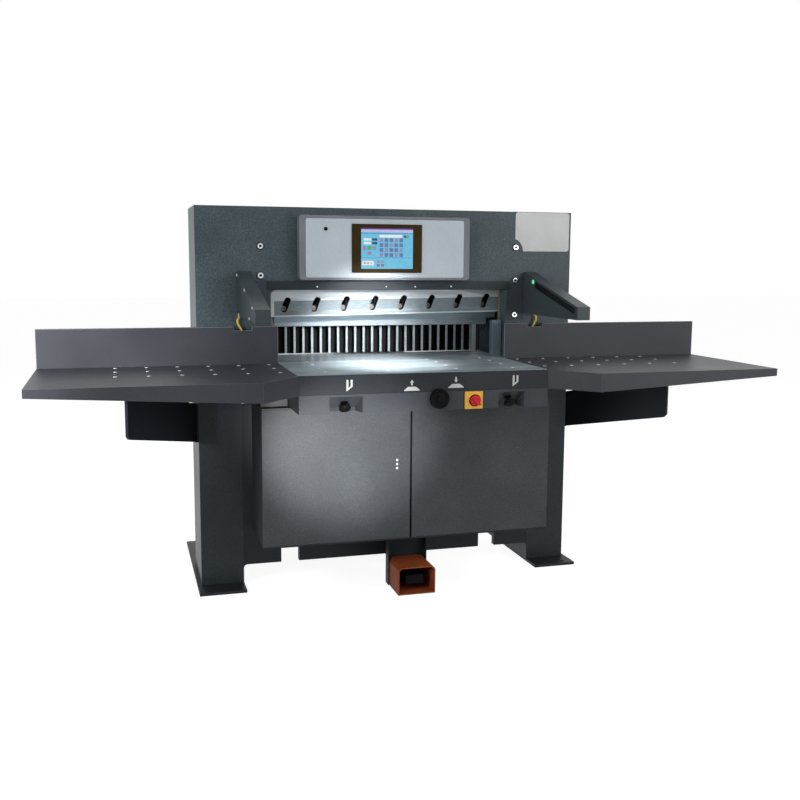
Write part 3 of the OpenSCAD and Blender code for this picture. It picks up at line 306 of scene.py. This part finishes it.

# ---------------------------------------------------------------- bolts and lintel of the frame
# Bright socket-head bolts on painted washers hold the knife's gibs; the walls inside their
# sockets are black, a painted shade. A thin steel lintel is screwed
# across the top of the throat between two thin side plates, and a bare pale plate sits on the
# right upright, bitten out round a bolt.
FRAME_FACE = -280
HANDS = (("left", -1), ("right", 1))


def metal(name, colour, roughness, streak, spread, metallic=1.0, slot=None, turn=0.0):
    """Worked metal. A noise stretched along the tool's way moves its colour, by spread, and its
    gloss: streak is how fine it is along x, y and z. The way is turned by turn degrees seen from
    above."""
    finish = bpy.data.materials.new(name)
    finish["slot"] = slot or name
    face = new_tree(finish)
    place = face.add("ShaderNodeTexCoord", output="Object")
    along = face.add("ShaderNodeMapping", {
        "Vector": place, "Rotation": (0, 0, math.radians(turn)), "Scale": streak})
    marks = face.add("ShaderNodeTexNoise", {"Vector": along, "Scale": 6.0, "Detail": 6.0}, "Fac")
    broad = face.add("ShaderNodeTexNoise", {"Vector": place, "Scale": 7.0, "Detail": 3.0}, "Fac")
    tone = face.add("ShaderNodeValToRGB", {"Fac": marks * 0.6 + broad * 0.4}, stops=[
        (0.3, rgb(*[c * (1 - spread) for c in colour])),
        (0.7, rgb(*[min(255, c * (1 + spread)) for c in colour]))])
    bump = face.add("ShaderNodeBump", {"Height": marks, "Strength": 0.25, "Distance": 0.0002}, "Normal")
    skin = face.add("ShaderNodeBsdfPrincipled", {
        "Base Color": tone, "Metallic": metallic, "Normal": bump,
        "Roughness": marks * 0.14 + broad * 0.10 + (roughness - 0.12)})
    face.add("ShaderNodeOutputMaterial", {"Surface": skin})
    return finish


def turned(name, profile, place, axis, body, finish, sides):
    """A piece turned on a lathe: profile lists (radius, height) in mm, place is in mm, and heights
    run along the axis."""
    mesh = bpy.data.meshes.new(name)
    mesh.from_pydata([(r * MM, 0, h * MM) for r, h in profile],
                     [(i, i + 1) for i in range(len(profile) - 1)], [])
    piece = bpy.data.objects.new(name, mesh)
    scene.collection.objects.link(piece)
    alone(piece)
    bpy.ops.object.mode_set(mode="EDIT")
    bpy.ops.mesh.select_all(action="SELECT")
    bpy.ops.mesh.spin(steps=sides, angle=math.tau, center=(0, 0, 0), axis=(0, 0, 1))
    bpy.ops.mesh.select_all(action="SELECT")
    bpy.ops.mesh.remove_doubles(threshold=1e-6)
    bpy.ops.mesh.normals_make_consistent(inside=False)
    bpy.ops.object.mode_set(mode="OBJECT")
    bpy.ops.object.shade_smooth_by_angle(angle=SHARP)
    turn = Vector(axis).to_track_quat("Z", "Y").to_matrix().to_4x4()
    piece.matrix_world = Matrix.Translation(Vector(place) * MM) @ turn
    return finished(piece, body, finish)


def cut_plate(name, outline, back, front, body, finish, ease):
    """A flat plate cut to an outline of (x, z) in mm, from y = back to y = front, its edges eased."""
    mesh = bpy.data.meshes.new(name)
    mesh.from_pydata([(x * MM, back * MM, z * MM) for x, z in outline], [], [range(len(outline))])
    piece = bpy.data.objects.new(name, mesh)
    scene.collection.objects.link(piece)
    alone(piece)
    bpy.ops.object.mode_set(mode="EDIT")
    bpy.ops.mesh.select_all(action="SELECT")
    bpy.ops.mesh.extrude_region_move(TRANSFORM_OT_translate={"value": (0, (front - back) * MM, 0)})
    bpy.ops.mesh.select_all(action="SELECT")
    bpy.ops.mesh.normals_make_consistent(inside=False)
    bpy.ops.object.mode_set(mode="OBJECT")
    if ease:
        ease_edges(piece, ease)
    return finished(piece, body, finish)


CORNER_STEPS = 5


def round_outline(x0, z0, x1, z1, radius):
    """An upright rectangle in mm with its corners rounded, from the upper right to the lower right."""
    corners = ((x1 - radius, z1 - radius, 0), (x0 + radius, z1 - radius, 90),
               (x0 + radius, z0 + radius, 180), (x1 - radius, z0 + radius, 270))
    turns = [(cx, cz, math.radians(start + 90 * i / CORNER_STEPS)) for cx, cz, start in corners
             for i in range(CORNER_STEPS + 1)]
    return [(cx + radius * math.cos(a), cz + radius * math.sin(a)) for cx, cz, a in turns]


chrome = metal("chrome", (205, 208, 212), 0.2, (60, 60, 60), 0.05)
black_plastic = enamel("black_plastic", (12, 12, 14), (18, 18, 21), 0.7, 0.45, 0.0002, gloss=0.06)
white_trim = enamel("white_trim", (208, 210, 210), (222, 223, 222), 0.6, 0.4, 0.0002, slot="alloy")


def in_finish(piece, finish, test):
    """Gives the finish to those of the piece's faces whose middle, in mm, and normal pass the test."""
    piece.data.materials.append(finish)
    for face in piece.data.polygons:
        if test(face.center / MM, face.normal):
            face.material_index = len(piece.data.materials) - 1


BOLT_CENTRES = [(x, z) for x in (-545, 545) for z in (1104, 1250, 1269, 1385, 1390)]
WASHER_TOP, SOCKET_MOUTH, SOCKET_RADIUS = 3.3, 5.5, 6.2
bolts = eased("frame_bolts", chrome, 0.4)
in_finish(bolts, frame_paint, lambda middle, normal: middle.y > FRAME_FACE - WASHER_TOP)
# The socket walls in each head take the black: painted shade inside the sockets.
in_finish(bolts, black_plastic, lambda middle, normal: FRAME_FACE - SOCKET_MOUTH < middle.y < FRAME_FACE
          and min(math.hypot(middle.x - x, middle.z - z) for x, z in BOLT_CENTRES) < SOCKET_RADIUS)

fascia_paint = enamel("fascia_paint", (60, 66, 71), (80, 88, 93), 0.7, 0.4, 0.0003, 520, 0.2, "frame_paint")
lintel_paint = enamel("lintel_paint", (44, 51, 56), (58, 66, 71), 0.7, 0.4, 0.0003, 520, 0.15, "frame_paint")
cut_plate("lintel", round_outline(-519, 1212, 519, 1247, 3), FRAME_FACE + 1, FRAME_FACE - 5,
          "machine", lintel_paint, 1)
FASCIA = [(519, 1247), (561, 1247), (583, 1286), (585, 1286), (585, 1082), (508, 1082), (508, 1212),
          (519, 1212)]
for hand, side in HANDS:
    cut_plate(f"{hand}_fascia", [(side * x, z) for x, z in FASCIA[::side]], FRAME_FACE + 0.5,
              FRAME_FACE - 2.5, "machine", fascia_paint, 0.4)
SCREW = [(0, 0), (6.5, 0), (6.5, 1.2), (5.0, 2.8), (2.6, 3.4), (2.4, 1.6), (0, 1.6)]
SMALL = 0.6
for i, x in enumerate((-317, -27, 98, 256)):
    turned(f"lintel_screw_{i}", [(r * SMALL, h * SMALL) for r, h in SCREW], (x, FRAME_FACE - 5, 1225),
           (0, -1, 0), "machine", chrome, 20)

# The bite takes the place of the plate's third corner, the lower left one.
plate = round_outline(543, 1374, 792, 1538, 12)
corner = CORNER_STEPS + 1
bite = [(543, 1424), (556, 1420), (566, 1410), (574, 1396), (578, 1384), (580, 1374)]
cut_plate("bare_plate", plate[:2 * corner] + bite + plate[3 * corner:], FRAME_FACE + 0.5,
          FRAME_FACE - 1, "machine", white_trim, 0.3)

# ---------------------------------------------------------------- cutting tables
# Ground and polished steel slabs with rows of air nozzles: the front table, the long rear table
# with the back gauge's slot, and the pale plastic cutting stick let into its groove. Steel guides
# stand in the throat and along the rear table; a thin black sheet at the throat's right end, behind
# the comb, is painted shade that closes the gap there.
table_steel = metal("table_steel", (160, 172, 178), 0.36, (0.3, 2.0, 2.0), 0.26, 0.35, turn=-52)
eased("main_table", table_steel, 1.5)
eased("rear_table", table_steel, 1.5)
eased("cutting_stick", enamel("stick", (214, 210, 200), (226, 222, 214), 0.6, 0.45, 0.0002), 0.4)
dark_steel = metal("dark_steel", (92, 104, 110), 0.5, (30, 30, 4), 0.15, 0.2)
eased("throat_guides", dark_steel, 1)
# A black sheet where the throat's right end lies in shade: painted shade.
cut_plate("throat_shade_sheet", [(504.3, 922.3), (507, 922.3), (507, 1112), (486, 1112), (486, 1062.5),
                         (504.3, 1062.5)], 44, 40.2, "machine", black_plastic, 0)
dressed("air_nozzles", metal("nozzle_nickel", (244, 246, 248), 0.4, (60, 60, 60), 0.02, 0.1, "chrome"))

# ---------------------------------------------------------------- side tables
# Folded charcoal sheets with a deep tapering skirt, an upstand along the back, and two gusset
# brackets below that carry them. Textured powder coat; a paler copy of it on the eased edges is a painted
# highlight.
table_paint = enamel("table_paint", (60, 62, 68), (82, 84, 91), 0.8, 0.42, 0.0006, 700, 0.2)
# A paler copy of the table paint for the narrow edge faces: painted highlight.
painted_edge_highlight = enamel("painted_edge_highlight", (116, 120, 128), (134, 138, 147), 0.7, 0.4, 0.0002, 700, 0.3, "table_paint")


def highlight_edges(piece, finish, width):
    """Gives the finish to the long narrow faces of the piece's eased edges, those under width mm wide."""
    piece.data.materials.append(finish)
    for face in piece.data.polygons:
        points = [piece.data.vertices[i].co for i in face.vertices]
        round_it = sum((a - b).length for a, b in zip(points, points[1:] + points[:1]))
        if face.area < round_it * width * MM / 2:
            face.material_index = len(piece.data.materials) - 1


for node in ("left_side_table", "right_side_table", "upstands"):
    highlight_edges(eased(node, table_paint, 2), painted_edge_highlight, 1.6)
bracket_paint = enamel("bracket_paint", (40, 45, 51), (52, 58, 65), 0.7, 0.5, 0.0005, 600, 0.12)
eased("table_brackets", bracket_paint, 1.5)

# ---------------------------------------------------------------- knife
# A machined steel beam drops in its gibs and swings to the left; eight bolts in slanted slots
# hold the ground blade against its back. A slide block on rails, driven by an oil cylinder, pulls
# its left end. The recess along its front has a darker, duller copy of the beam steel, a painted
# shade, and the walls of the slots through it are black, also painted shade.
beam_steel = metal("beam_steel", (172, 177, 180), 0.36, (4, 30, 60), 0.08, 0.3)
# A darker copy of the beam steel for the recess faces: painted shade in the recess.
shaded_recess_steel = metal("shaded_recess_steel", (98, 110, 115), 0.45, (6, 30, 40), 0.16, 0.2, "beam_steel")
# Near black for faces that lie in shade, the knife's slot walls and the back gauge's finger sides and plate:
# painted shade.
shade_black = enamel("shade_black", (15, 14, 15), (34, 28, 26), 0.6, 0.55, 0.0003, 300, 0.1, "bolt_steel")
beam = eased("knife_beam", beam_steel, 1.2)
RECESS_FACE, BEAM_BACK, STRIP_FOOT = -195, -82, 1185
SLOT_LEFT, SLOT_RIGHT, SLOT_LOW, SLOT_HIGH = -470, 480, 1112, 1200
FACING = 0.7
# The recess faces take the darker steel and the slot walls the black: painted shade.
in_finish(beam, shaded_recess_steel, lambda middle, normal: RECESS_FACE - 2 < middle.y < RECESS_FACE + 2
          and middle.z < STRIP_FOOT)
in_finish(beam, shade_black, lambda middle, normal: RECESS_FACE + 1.1 < middle.y < BEAM_BACK
          and abs(normal.y) < FACING and SLOT_LEFT < middle.x < SLOT_RIGHT
          and SLOT_LOW < middle.z < SLOT_HIGH)
in_finish(beam, shade_black, lambda middle, normal: RECESS_FACE + 2 < middle.y < BEAM_BACK - 1
          and normal.y < -FACING and SLOT_LEFT < middle.x < SLOT_RIGHT)
eased("knife_blade", metal("knife_steel", (152, 166, 174), 0.42, (4, 30, 60), 0.08, 0.25), 0.3)
bolt_steel = metal("bolt_steel", (96, 91, 88), 0.45, (40, 40, 40), 0.3, 0.3)
dressed("knife_bolts", bolt_steel)
brass = metal("brass", (120, 120, 76), 0.4, (30, 30, 4), 0.15, 0.4)
eased("knife_gibs", brass, 1)
machine_paint = enamel("machine_paint", (50, 62, 78), (72, 86, 104), 0.7, 0.4, 0.0004, 500)
dressed("knife_guide_rails", dark_steel)
dressed("knife_slide_block", dark_steel)
dressed("knife_rod", chrome)
dressed("knife_cylinder", machine_paint)

# ---------------------------------------------------------------- clamp and back gauge
# The cast clamp comes down on the stack, on rods moved by an oil cylinder. The back gauge behind it
# is a cast comb; the sides of its fingers and its plate are black, a painted shade for the dark
# gaps between the fingers. A lead screw under the rear table drives it, and a toothed belt from
# a motor turns the screw.
casting = metal("casting", (132, 142, 147), 0.46, (6, 6, 30), 0.12, 0.3)
eased("clamp", casting, 1)
gauge = eased("back_gauge", casting, 0.8)
COMB_FOOT, FINGER_ROOT = 924, 19.5
# All of the comb above its foot except the fingers' front faces is black: painted shade in the gaps.
in_finish(gauge, shade_black, lambda middle, normal: middle.z > COMB_FOOT and (
    normal.y > -FACING or middle.y > FINGER_ROOT))
dressed("clamp_rods", chrome)
dressed("clamp_cylinder", machine_paint)
dressed("clamp_bushes", brass)
dressed("lead_screw", chrome)
alloy = metal("alloy", (176, 184, 194), 0.34, (60, 8, 8), 0.05, 0.5)
dressed("screw_pulley", alloy)
dressed("motor_pulley", alloy)
dressed("drive_belt", enamel("belt", (24, 24, 25), (34, 34, 36), 0.8, 0.7, 0.0004))
dressed("gauge_motor", machine_paint)
dressed("screw_bearings", casting)

# ---------------------------------------------------------------- cabinet and doors
# Folded sheet-steel cabinet under the table, with two doors on hinge pins, and on its lid a paler
# upright strip at each side of the control box. Inside are the oil tank, the pump on top of it,
# and the electrical box.
door_paint = enamel("door_paint", (66, 70, 74), (90, 94, 98), 0.75, 0.4, 0.0005, 650, 0.2)
eased("left_door", door_paint, 2)
eased("right_door", door_paint, 2)
cabinet = eased("cabinet", dark_paint, 1)
strip_paint = enamel("strip_paint", (72, 72, 74), (84, 84, 86), 0.7, 0.4, 0.0004, 650, 0.2, "dark_paint")
LID_TOP, STRIP_BACK = 771.5, -540
in_finish(cabinet, strip_paint, lambda middle, normal: middle.z > LID_TOP and middle.y < STRIP_BACK)
dressed("hinge_pins", chrome)
eased("oil_tank", enamel("tank", (76, 80, 84), (96, 100, 104), 0.6, 0.5, 0.0005), 6)
dressed("pump_unit", machine_paint)
box_paint = enamel("box_paint", (60, 64, 69), (78, 82, 87), 0.7, 0.36, 0.0004, 600, 0.2)
eased("electrical_box", box_paint, 1)
for i, z in enumerate((554, 538, 522)):
    turned(f"door_stud_{i}", [(0, 0), (5, 0), (5, 1), (3.6, 2.2), (0, 2.6)], (-58, -570, z),
           (0, -1, 0), "left_door", white_trim, 20)

# ---------------------------------------------------------------- apron and control box
# A folded apron closes the front of the table; the control box under it has two hand recesses
# for the cut buttons. Small pale signs mark the knife and the clamp's two directions.
apron_paint = enamel("apron_paint", (42, 45, 50), (56, 60, 65), 0.75, 0.38, 0.0004, 650, 0.15)
eased("front_apron", apron_paint, 1.5)
eased("control_box", box_paint, 1.5)
APRON_FACE = -778


def arrow(stem, head, tip):
    """An upright arrow in mm from the foot of its stem to its tip, up or down."""
    return [(-3, stem), (3, stem), (3, head), (7.5, head), (0, tip), (-7.5, head), (-3, head)]


KNIFE_SIGN = [(-11.5, 21), (-4, 21), (-4, -8.5), (4, -2.5), (4, 21), (11.5, 21), (11.5, -4), (-11.5, -21)]
CLAMP_SIGN = [(-30, -16), (30, -16), (30, -13), (15, -1), (-15, -1), (-30, -13)]
SIGNS = [(KNIFE_SIGN, -298, 882), (KNIFE_SIGN, 349, 882),
         (CLAMP_SIGN, -62, 872), (arrow(4, 14, 25), -62, 872),
         (CLAMP_SIGN, 110, 878), (arrow(25, 14, 4), 110, 878)]
for number, (outline, x, z) in enumerate(SIGNS, 1):
    cut_plate(f"sign_{number}", [(x + a, z + b) for a, b in outline], APRON_FACE + 0.1,
              APRON_FACE - 0.3, "machine", white_trim, 0)

# ---------------------------------------------------------------- cut buttons
# Two black mushroom buttons, pressed together to cut. Moulded plastic with a dished cap and a
# raised collar, each on a steel stem through the recess's sloping back.
BUTTON_AXIS = (0, -0.601815, -0.798636)
CAP = [(0, -16), (7.9, -16), (7.9, 18), (16, 18), (19, 18.8), (19, 24), (21, 24), (22, 25.2),
       (21.6, 27.5), (18.6, 31.4), (16.4, 32.8), (14.5, 32.6), (9, 31.2), (0, 30.6)]
COLLAR = [(9, 0), (15, 0), (15, 2.4), (13.6, 4), (9, 4), (9, 0)]
for hand, x in (("left", -311), ("right", 333)):
    foot = (x, -744, 816.36)
    button = turned(f"{hand}_button_cap", CAP, foot, BUTTON_AXIS, f"{hand}_cut_button", black_plastic, 48)
    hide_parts(f"{hand}_cut_button")
    turned(f"{hand}_button_collar", COLLAR, foot, BUTTON_AXIS, "machine", black_plastic, 40)

# ---------------------------------------------------------------- hand wheel
# A black moulded knob that sets the clamp's pressure: a knurled rim, a dished face and a boss.
# It turns on a short stub in the control box.
WHEEL_X, WHEEL_Z = 44, 824
RIM_SIDES, RIM_INSIDE, RIM_BACK, RIM_FRONT = 72, 36.8, APRON_FACE - 5, APRON_FACE - 14
wheel = turned("handwheel_knob", [
    (0, -8), (5.9, -8), (5.9, 1), (33, 1), (37, 2.4), (37.4, 6), (37.4, 13), (36, 16.5), (33.5, 18),
    (31.5, 18.4), (29.5, 17.6), (27, 14), (16, 12.6), (13, 14), (12, 20.6), (10.5, 21.8), (0, 21.9)],
    (WHEEL_X, APRON_FACE, WHEEL_Z), (0, -1, 0), "handwheel", black_plastic, RIM_SIDES)
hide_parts("handwheel")
alone(wheel)
bpy.ops.object.mode_set(mode="EDIT")
bpy.ops.mesh.select_all(action="DESELECT")
shape = bmesh.from_edit_mesh(wheel.data)
hub = Vector((WHEEL_X * MM, 0, WHEEL_Z * MM))
for face in shape.faces:
    middle = face.calc_center_median()
    reach = (Vector((middle.x, 0, middle.z)) - hub).length
    turn = math.atan2(middle.z - hub.z, middle.x - hub.x)
    third = round(turn / math.tau * RIM_SIDES) % 3 == 0
    face.select = third and reach > RIM_INSIDE * MM and RIM_FRONT * MM < middle.y < RIM_BACK * MM
bmesh.update_edit_mesh(wheel.data)
bpy.ops.mesh.inset(thickness=0.0004, use_individual=True)
bpy.ops.mesh.extrude_region_shrink_fatten(TRANSFORM_OT_shrink_fatten={"value": -0.0012})
bpy.ops.object.mode_set(mode="OBJECT")

# ---------------------------------------------------------------- main switch
# A red rotary grip on a yellow plate cuts the power. Both are moulded plastic, and a thin black
# ring lies round the grip's foot.
yellow = enamel("yellow_plastic", (250, 190, 70), (254, 202, 92), 0.6, 0.35, 0.0002)
red = enamel("red_plastic", (214, 34, 46), (226, 52, 62), 0.6, 0.32, 0.0002)
eased("switch_plate", yellow, 1.2)
eased("switch_knob", red, 0.8)
turned("switch_ring", [(19.6, 0), (23, 0), (23, 0.8), (19.6, 0.8), (19.6, 0)], (184, -784, 813), (0, -1, 0),
       "machine", black_plastic, 48)

# ---------------------------------------------------------------- foot pedal
# The pedal brings the clamp down. It sits in a glossy orange-brown sheet guard on a folded
# bracket, and turns on a pin; ribs across its tread stop the shoe from slipping.
guard_paint = enamel("guard_paint", (150, 76, 46), (170, 92, 58), 0.5, 0.4, 0.0003, 300, 0.02)
eased("pedal_guard", guard_paint, 1)
eased("foot_pedal", black_plastic, 1.5)
eased("pedal_bracket", bracket_paint, 1)
dressed("pedal_pin", chrome)

# ---------------------------------------------------------------- light guards
# Two sloping sheet arms hold the light curtain that stops the knife when a hand is in the
# throat: a dark window along each inner edge, a small green lamp, and pale screws outside.
arm_paint = enamel("arm_paint", (60, 68, 72), (76, 86, 90), 0.75, 0.38, 0.0004, 600, 0.2, "apron_paint")
eased("light_guards", arm_paint, 1.5)
dressed("light_curtains", enamel("lens", (14, 14, 17), (20, 20, 24), 0.5, 0.4, 0.0001, gloss=0.15))
ARM_OUT = 639
ARM_SCREWS = [(-292, 1270), (-520, 1217), (-735, 1162), (-654, 1119), (-330, 1116)]
for hand, side in HANDS:
    for i, (y, z) in enumerate(ARM_SCREWS):
        turned(f"arm_screw_{hand}_{i}", SCREW, (side * ARM_OUT, y, z), (side, 0, 0), "machine",
               white_trim, 20)


def lamp_glow(name, colour, strength, slot):
    """A surface that shines in its own colour, such as a lamp or a lit screen."""
    finish = bpy.data.materials.new(name)
    finish["slot"] = slot
    tube = new_tree(finish)
    place = tube.add("ShaderNodeTexCoord", output="Object")
    grain = tube.add("ShaderNodeTexNoise", {"Vector": place, "Scale": 60.0}, "Fac")
    tone = tube.add("ShaderNodeValToRGB", {"Fac": grain}, stops=[
        (0.3, rgb(*[c * 0.94 for c in colour])), (0.7, rgb(*colour))])
    skin = tube.add("ShaderNodeBsdfPrincipled", {
        "Base Color": (0.01, 0.01, 0.01, 1), "Roughness": 0.25, "Emission Color": tone,
        "Emission Strength": strength})
    tube.add("ShaderNodeOutputMaterial", {"Surface": skin})
    return finish


green_lamp = lamp_glow("green_lamp", (80, 230, 160), 1.2, "lens")
turned("guard_lamp", [(0, 0), (9, 0), (9, 1.2), (7, 3), (0, 3.6)], (585, -384, 1246),
       (-1, 0, 0), "machine", green_lamp, 28)

# ---------------------------------------------------------------- guard cables
# Yellow sheathed cables run from the arms' undersides out through the upstands' notches and
# back into the frame. Their ends are fixed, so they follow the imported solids.
cable_sheath = enamel("cable", (238, 196, 74), (246, 208, 96), 0.6, 0.45, 0.0002)
ROUTE = [(634, -296, 1109.6), (634, -296, 1104), (639, -296, 1097), (642, -296, 1090), (637, -296, 1072),
         (626, -296, 1056), (617, -296, 1038), (613, -292, 1020), (613, -285, 1019), (613, -280.4, 1019)]
CABLE_RADIUS = 4
for hand, side in HANDS:
    name = f"guard_cable_{hand}"
    line = bpy.data.curves.new(name, "CURVE")
    line.dimensions, line.bevel_depth = "3D", CABLE_RADIUS * MM
    line.bevel_resolution, line.resolution_u = 4, 6
    run = line.splines.new("NURBS")
    run.points.add(len(ROUTE) - 1)
    for point, (x, y, z) in zip(run.points, ROUTE):
        point.co = (side * x * MM, y * MM, z * MM, 1)
    run.use_endpoint_u, run.order_u, line.use_fill_caps = True, 3, True
    cable = bpy.data.objects.new(name, line)
    scene.collection.objects.link(cable)
    alone(cable)
    bpy.ops.object.convert(target="MESH")
    cable = bpy.context.object
    bpy.ops.object.shade_smooth()
    finished(cable, "machine", cable_sheath)
    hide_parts("guard_cables")

# ---------------------------------------------------------------- display
# A grey moulded housing on the head beam carries a silver panel and a colour touch screen in a
# bronze bezel. The lit picture is a plain layout of bars, fields and keys, without any words.
eased("display_housing", enamel("housing", (120, 124, 130), (136, 139, 145), 0.6, 0.4, 0.0003, 700, 0.2), 3)
eased("display_panel", metal("panel_alloy", (182, 191, 199), 0.42, (60, 8, 8), 0.04, 0.0, "alloy"), 0.8)
bezel = enamel("screen", (54, 42, 20), (64, 50, 26), 0.5, 0.5, 0.0001, 300, 0.05)
eased("touch_screen", bezel, 0.6)
turned("panel_port", [(0, 0), (7.5, 0), (7.5, 1.6), (6.6, 2.2), (5.4, 2.0), (5.0, 0.8), (0, 0.6)],
       (-290, -329, 1455), (0, -1, 0), "machine", black_plastic, 32)
for i, x in enumerate((-357, 266)):
    turned(f"housing_screw_{i}", [(0, 0), (5, 0), (5, 1.5), (3.6, 2.6), (0, 3)], (x, -305, 1507.2),
           (0, 0, 1), "machine", chrome, 20)

SCREEN_BACK = -331
PICTURE = {"cyan": (100, 196, 230), "purple": (84, 40, 150), "lilac": (196, 190, 226), "blue": (40, 84, 190),
           "white": (236, 242, 246), "mauve": (146, 138, 190), "slate": (92, 116, 168),
           "green": (60, 180, 90), "red": (190, 70, 80), "navy": (30, 50, 110)}
SCREEN_LEFT, SCREEN_FOOT, SCREEN_W, SCREEN_H = -146, 1297.5, 218, 163


def row_of_keys(shade, lefts, bottom, width, height):
    """Keys of one shade side by side, each (shade, left, bottom, right, top) in parts of the picture."""
    return [(shade, left, bottom, left + width, bottom + height) for left in lefts]


GROUND = [("cyan", 0, 0, 1, 1)]
BARS = [("purple", 0, 0.965, 1, 1), ("lilac", 0, 0.90, 1, 0.965), ("blue", 0, 0.865, 1, 0.878)]
KEYS = [("white", 0.35, 0.77, 0.79, 0.84), ("purple", 0.82, 0.77, 0.87, 0.83),
        ("green", 0.87, 0.77, 0.92, 0.83), ("blue", 0, 0.27, 1, 0.278), ("white", 0.02, 0.09, 0.24, 0.19)]
for bottom in (0.69, 0.60):
    KEYS += row_of_keys("white", (0.05,), bottom, 0.14, 0.06)
    KEYS += row_of_keys("navy", (0.21,), bottom, 0.10, 0.06)
KEYS += row_of_keys("mauve", (0.03, 0.21), 0.46, 0.075, 0.10)
KEYS += row_of_keys("green", (0.12,), 0.46, 0.075, 0.10)
KEYS += row_of_keys("mauve", (0.12,), 0.33, 0.075, 0.10)
KEYS += row_of_keys("red", (0.05, 0.11, 0.17), 0.115, 0.04, 0.05)
for shade, bottom in (("mauve", 0.14), ("slate", 0.05)):
    KEYS += row_of_keys(shade, (0.30, 0.38), bottom, 0.06, 0.07)
for row in range(4):
    for column in range(5):
        shade = "slate" if (row + column) % 3 else "mauve"
        KEYS += row_of_keys(shade, (0.355 + column * 0.095,), 0.66 - row * 0.122, 0.07, 0.095)
picture = bpy.data.meshes.new("screen_picture")
corners, quads, face_shades = [], [], []
for raised, fields in ((0.1, GROUND), (0.3, BARS), (0.5, KEYS)):
    for shade, x0, z0, x1, z1 in fields:
        face_shades.append(shade)
        quads.append(tuple(len(corners) + i for i in range(4)))
        corners += [((SCREEN_LEFT + SCREEN_W * x) * MM, (SCREEN_BACK - raised) * MM,
                     (SCREEN_FOOT + SCREEN_H * z) * MM)
                    for x, z in ((x0, z0), (x1, z0), (x1, z1), (x0, z1))]
picture.from_pydata(corners, [], quads)
screen_picture = bpy.data.objects.new("screen_picture", picture)
scene.collection.objects.link(screen_picture)
alone(screen_picture)
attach(screen_picture, "machine")
shades = list(PICTURE)
for shade, colour in PICTURE.items():
    picture.materials.append(lamp_glow("picture_" + shade, colour, 0.9, "screen"))
for face, shade in zip(picture.polygons, face_shades):
    face.material_index = shades.index(shade)
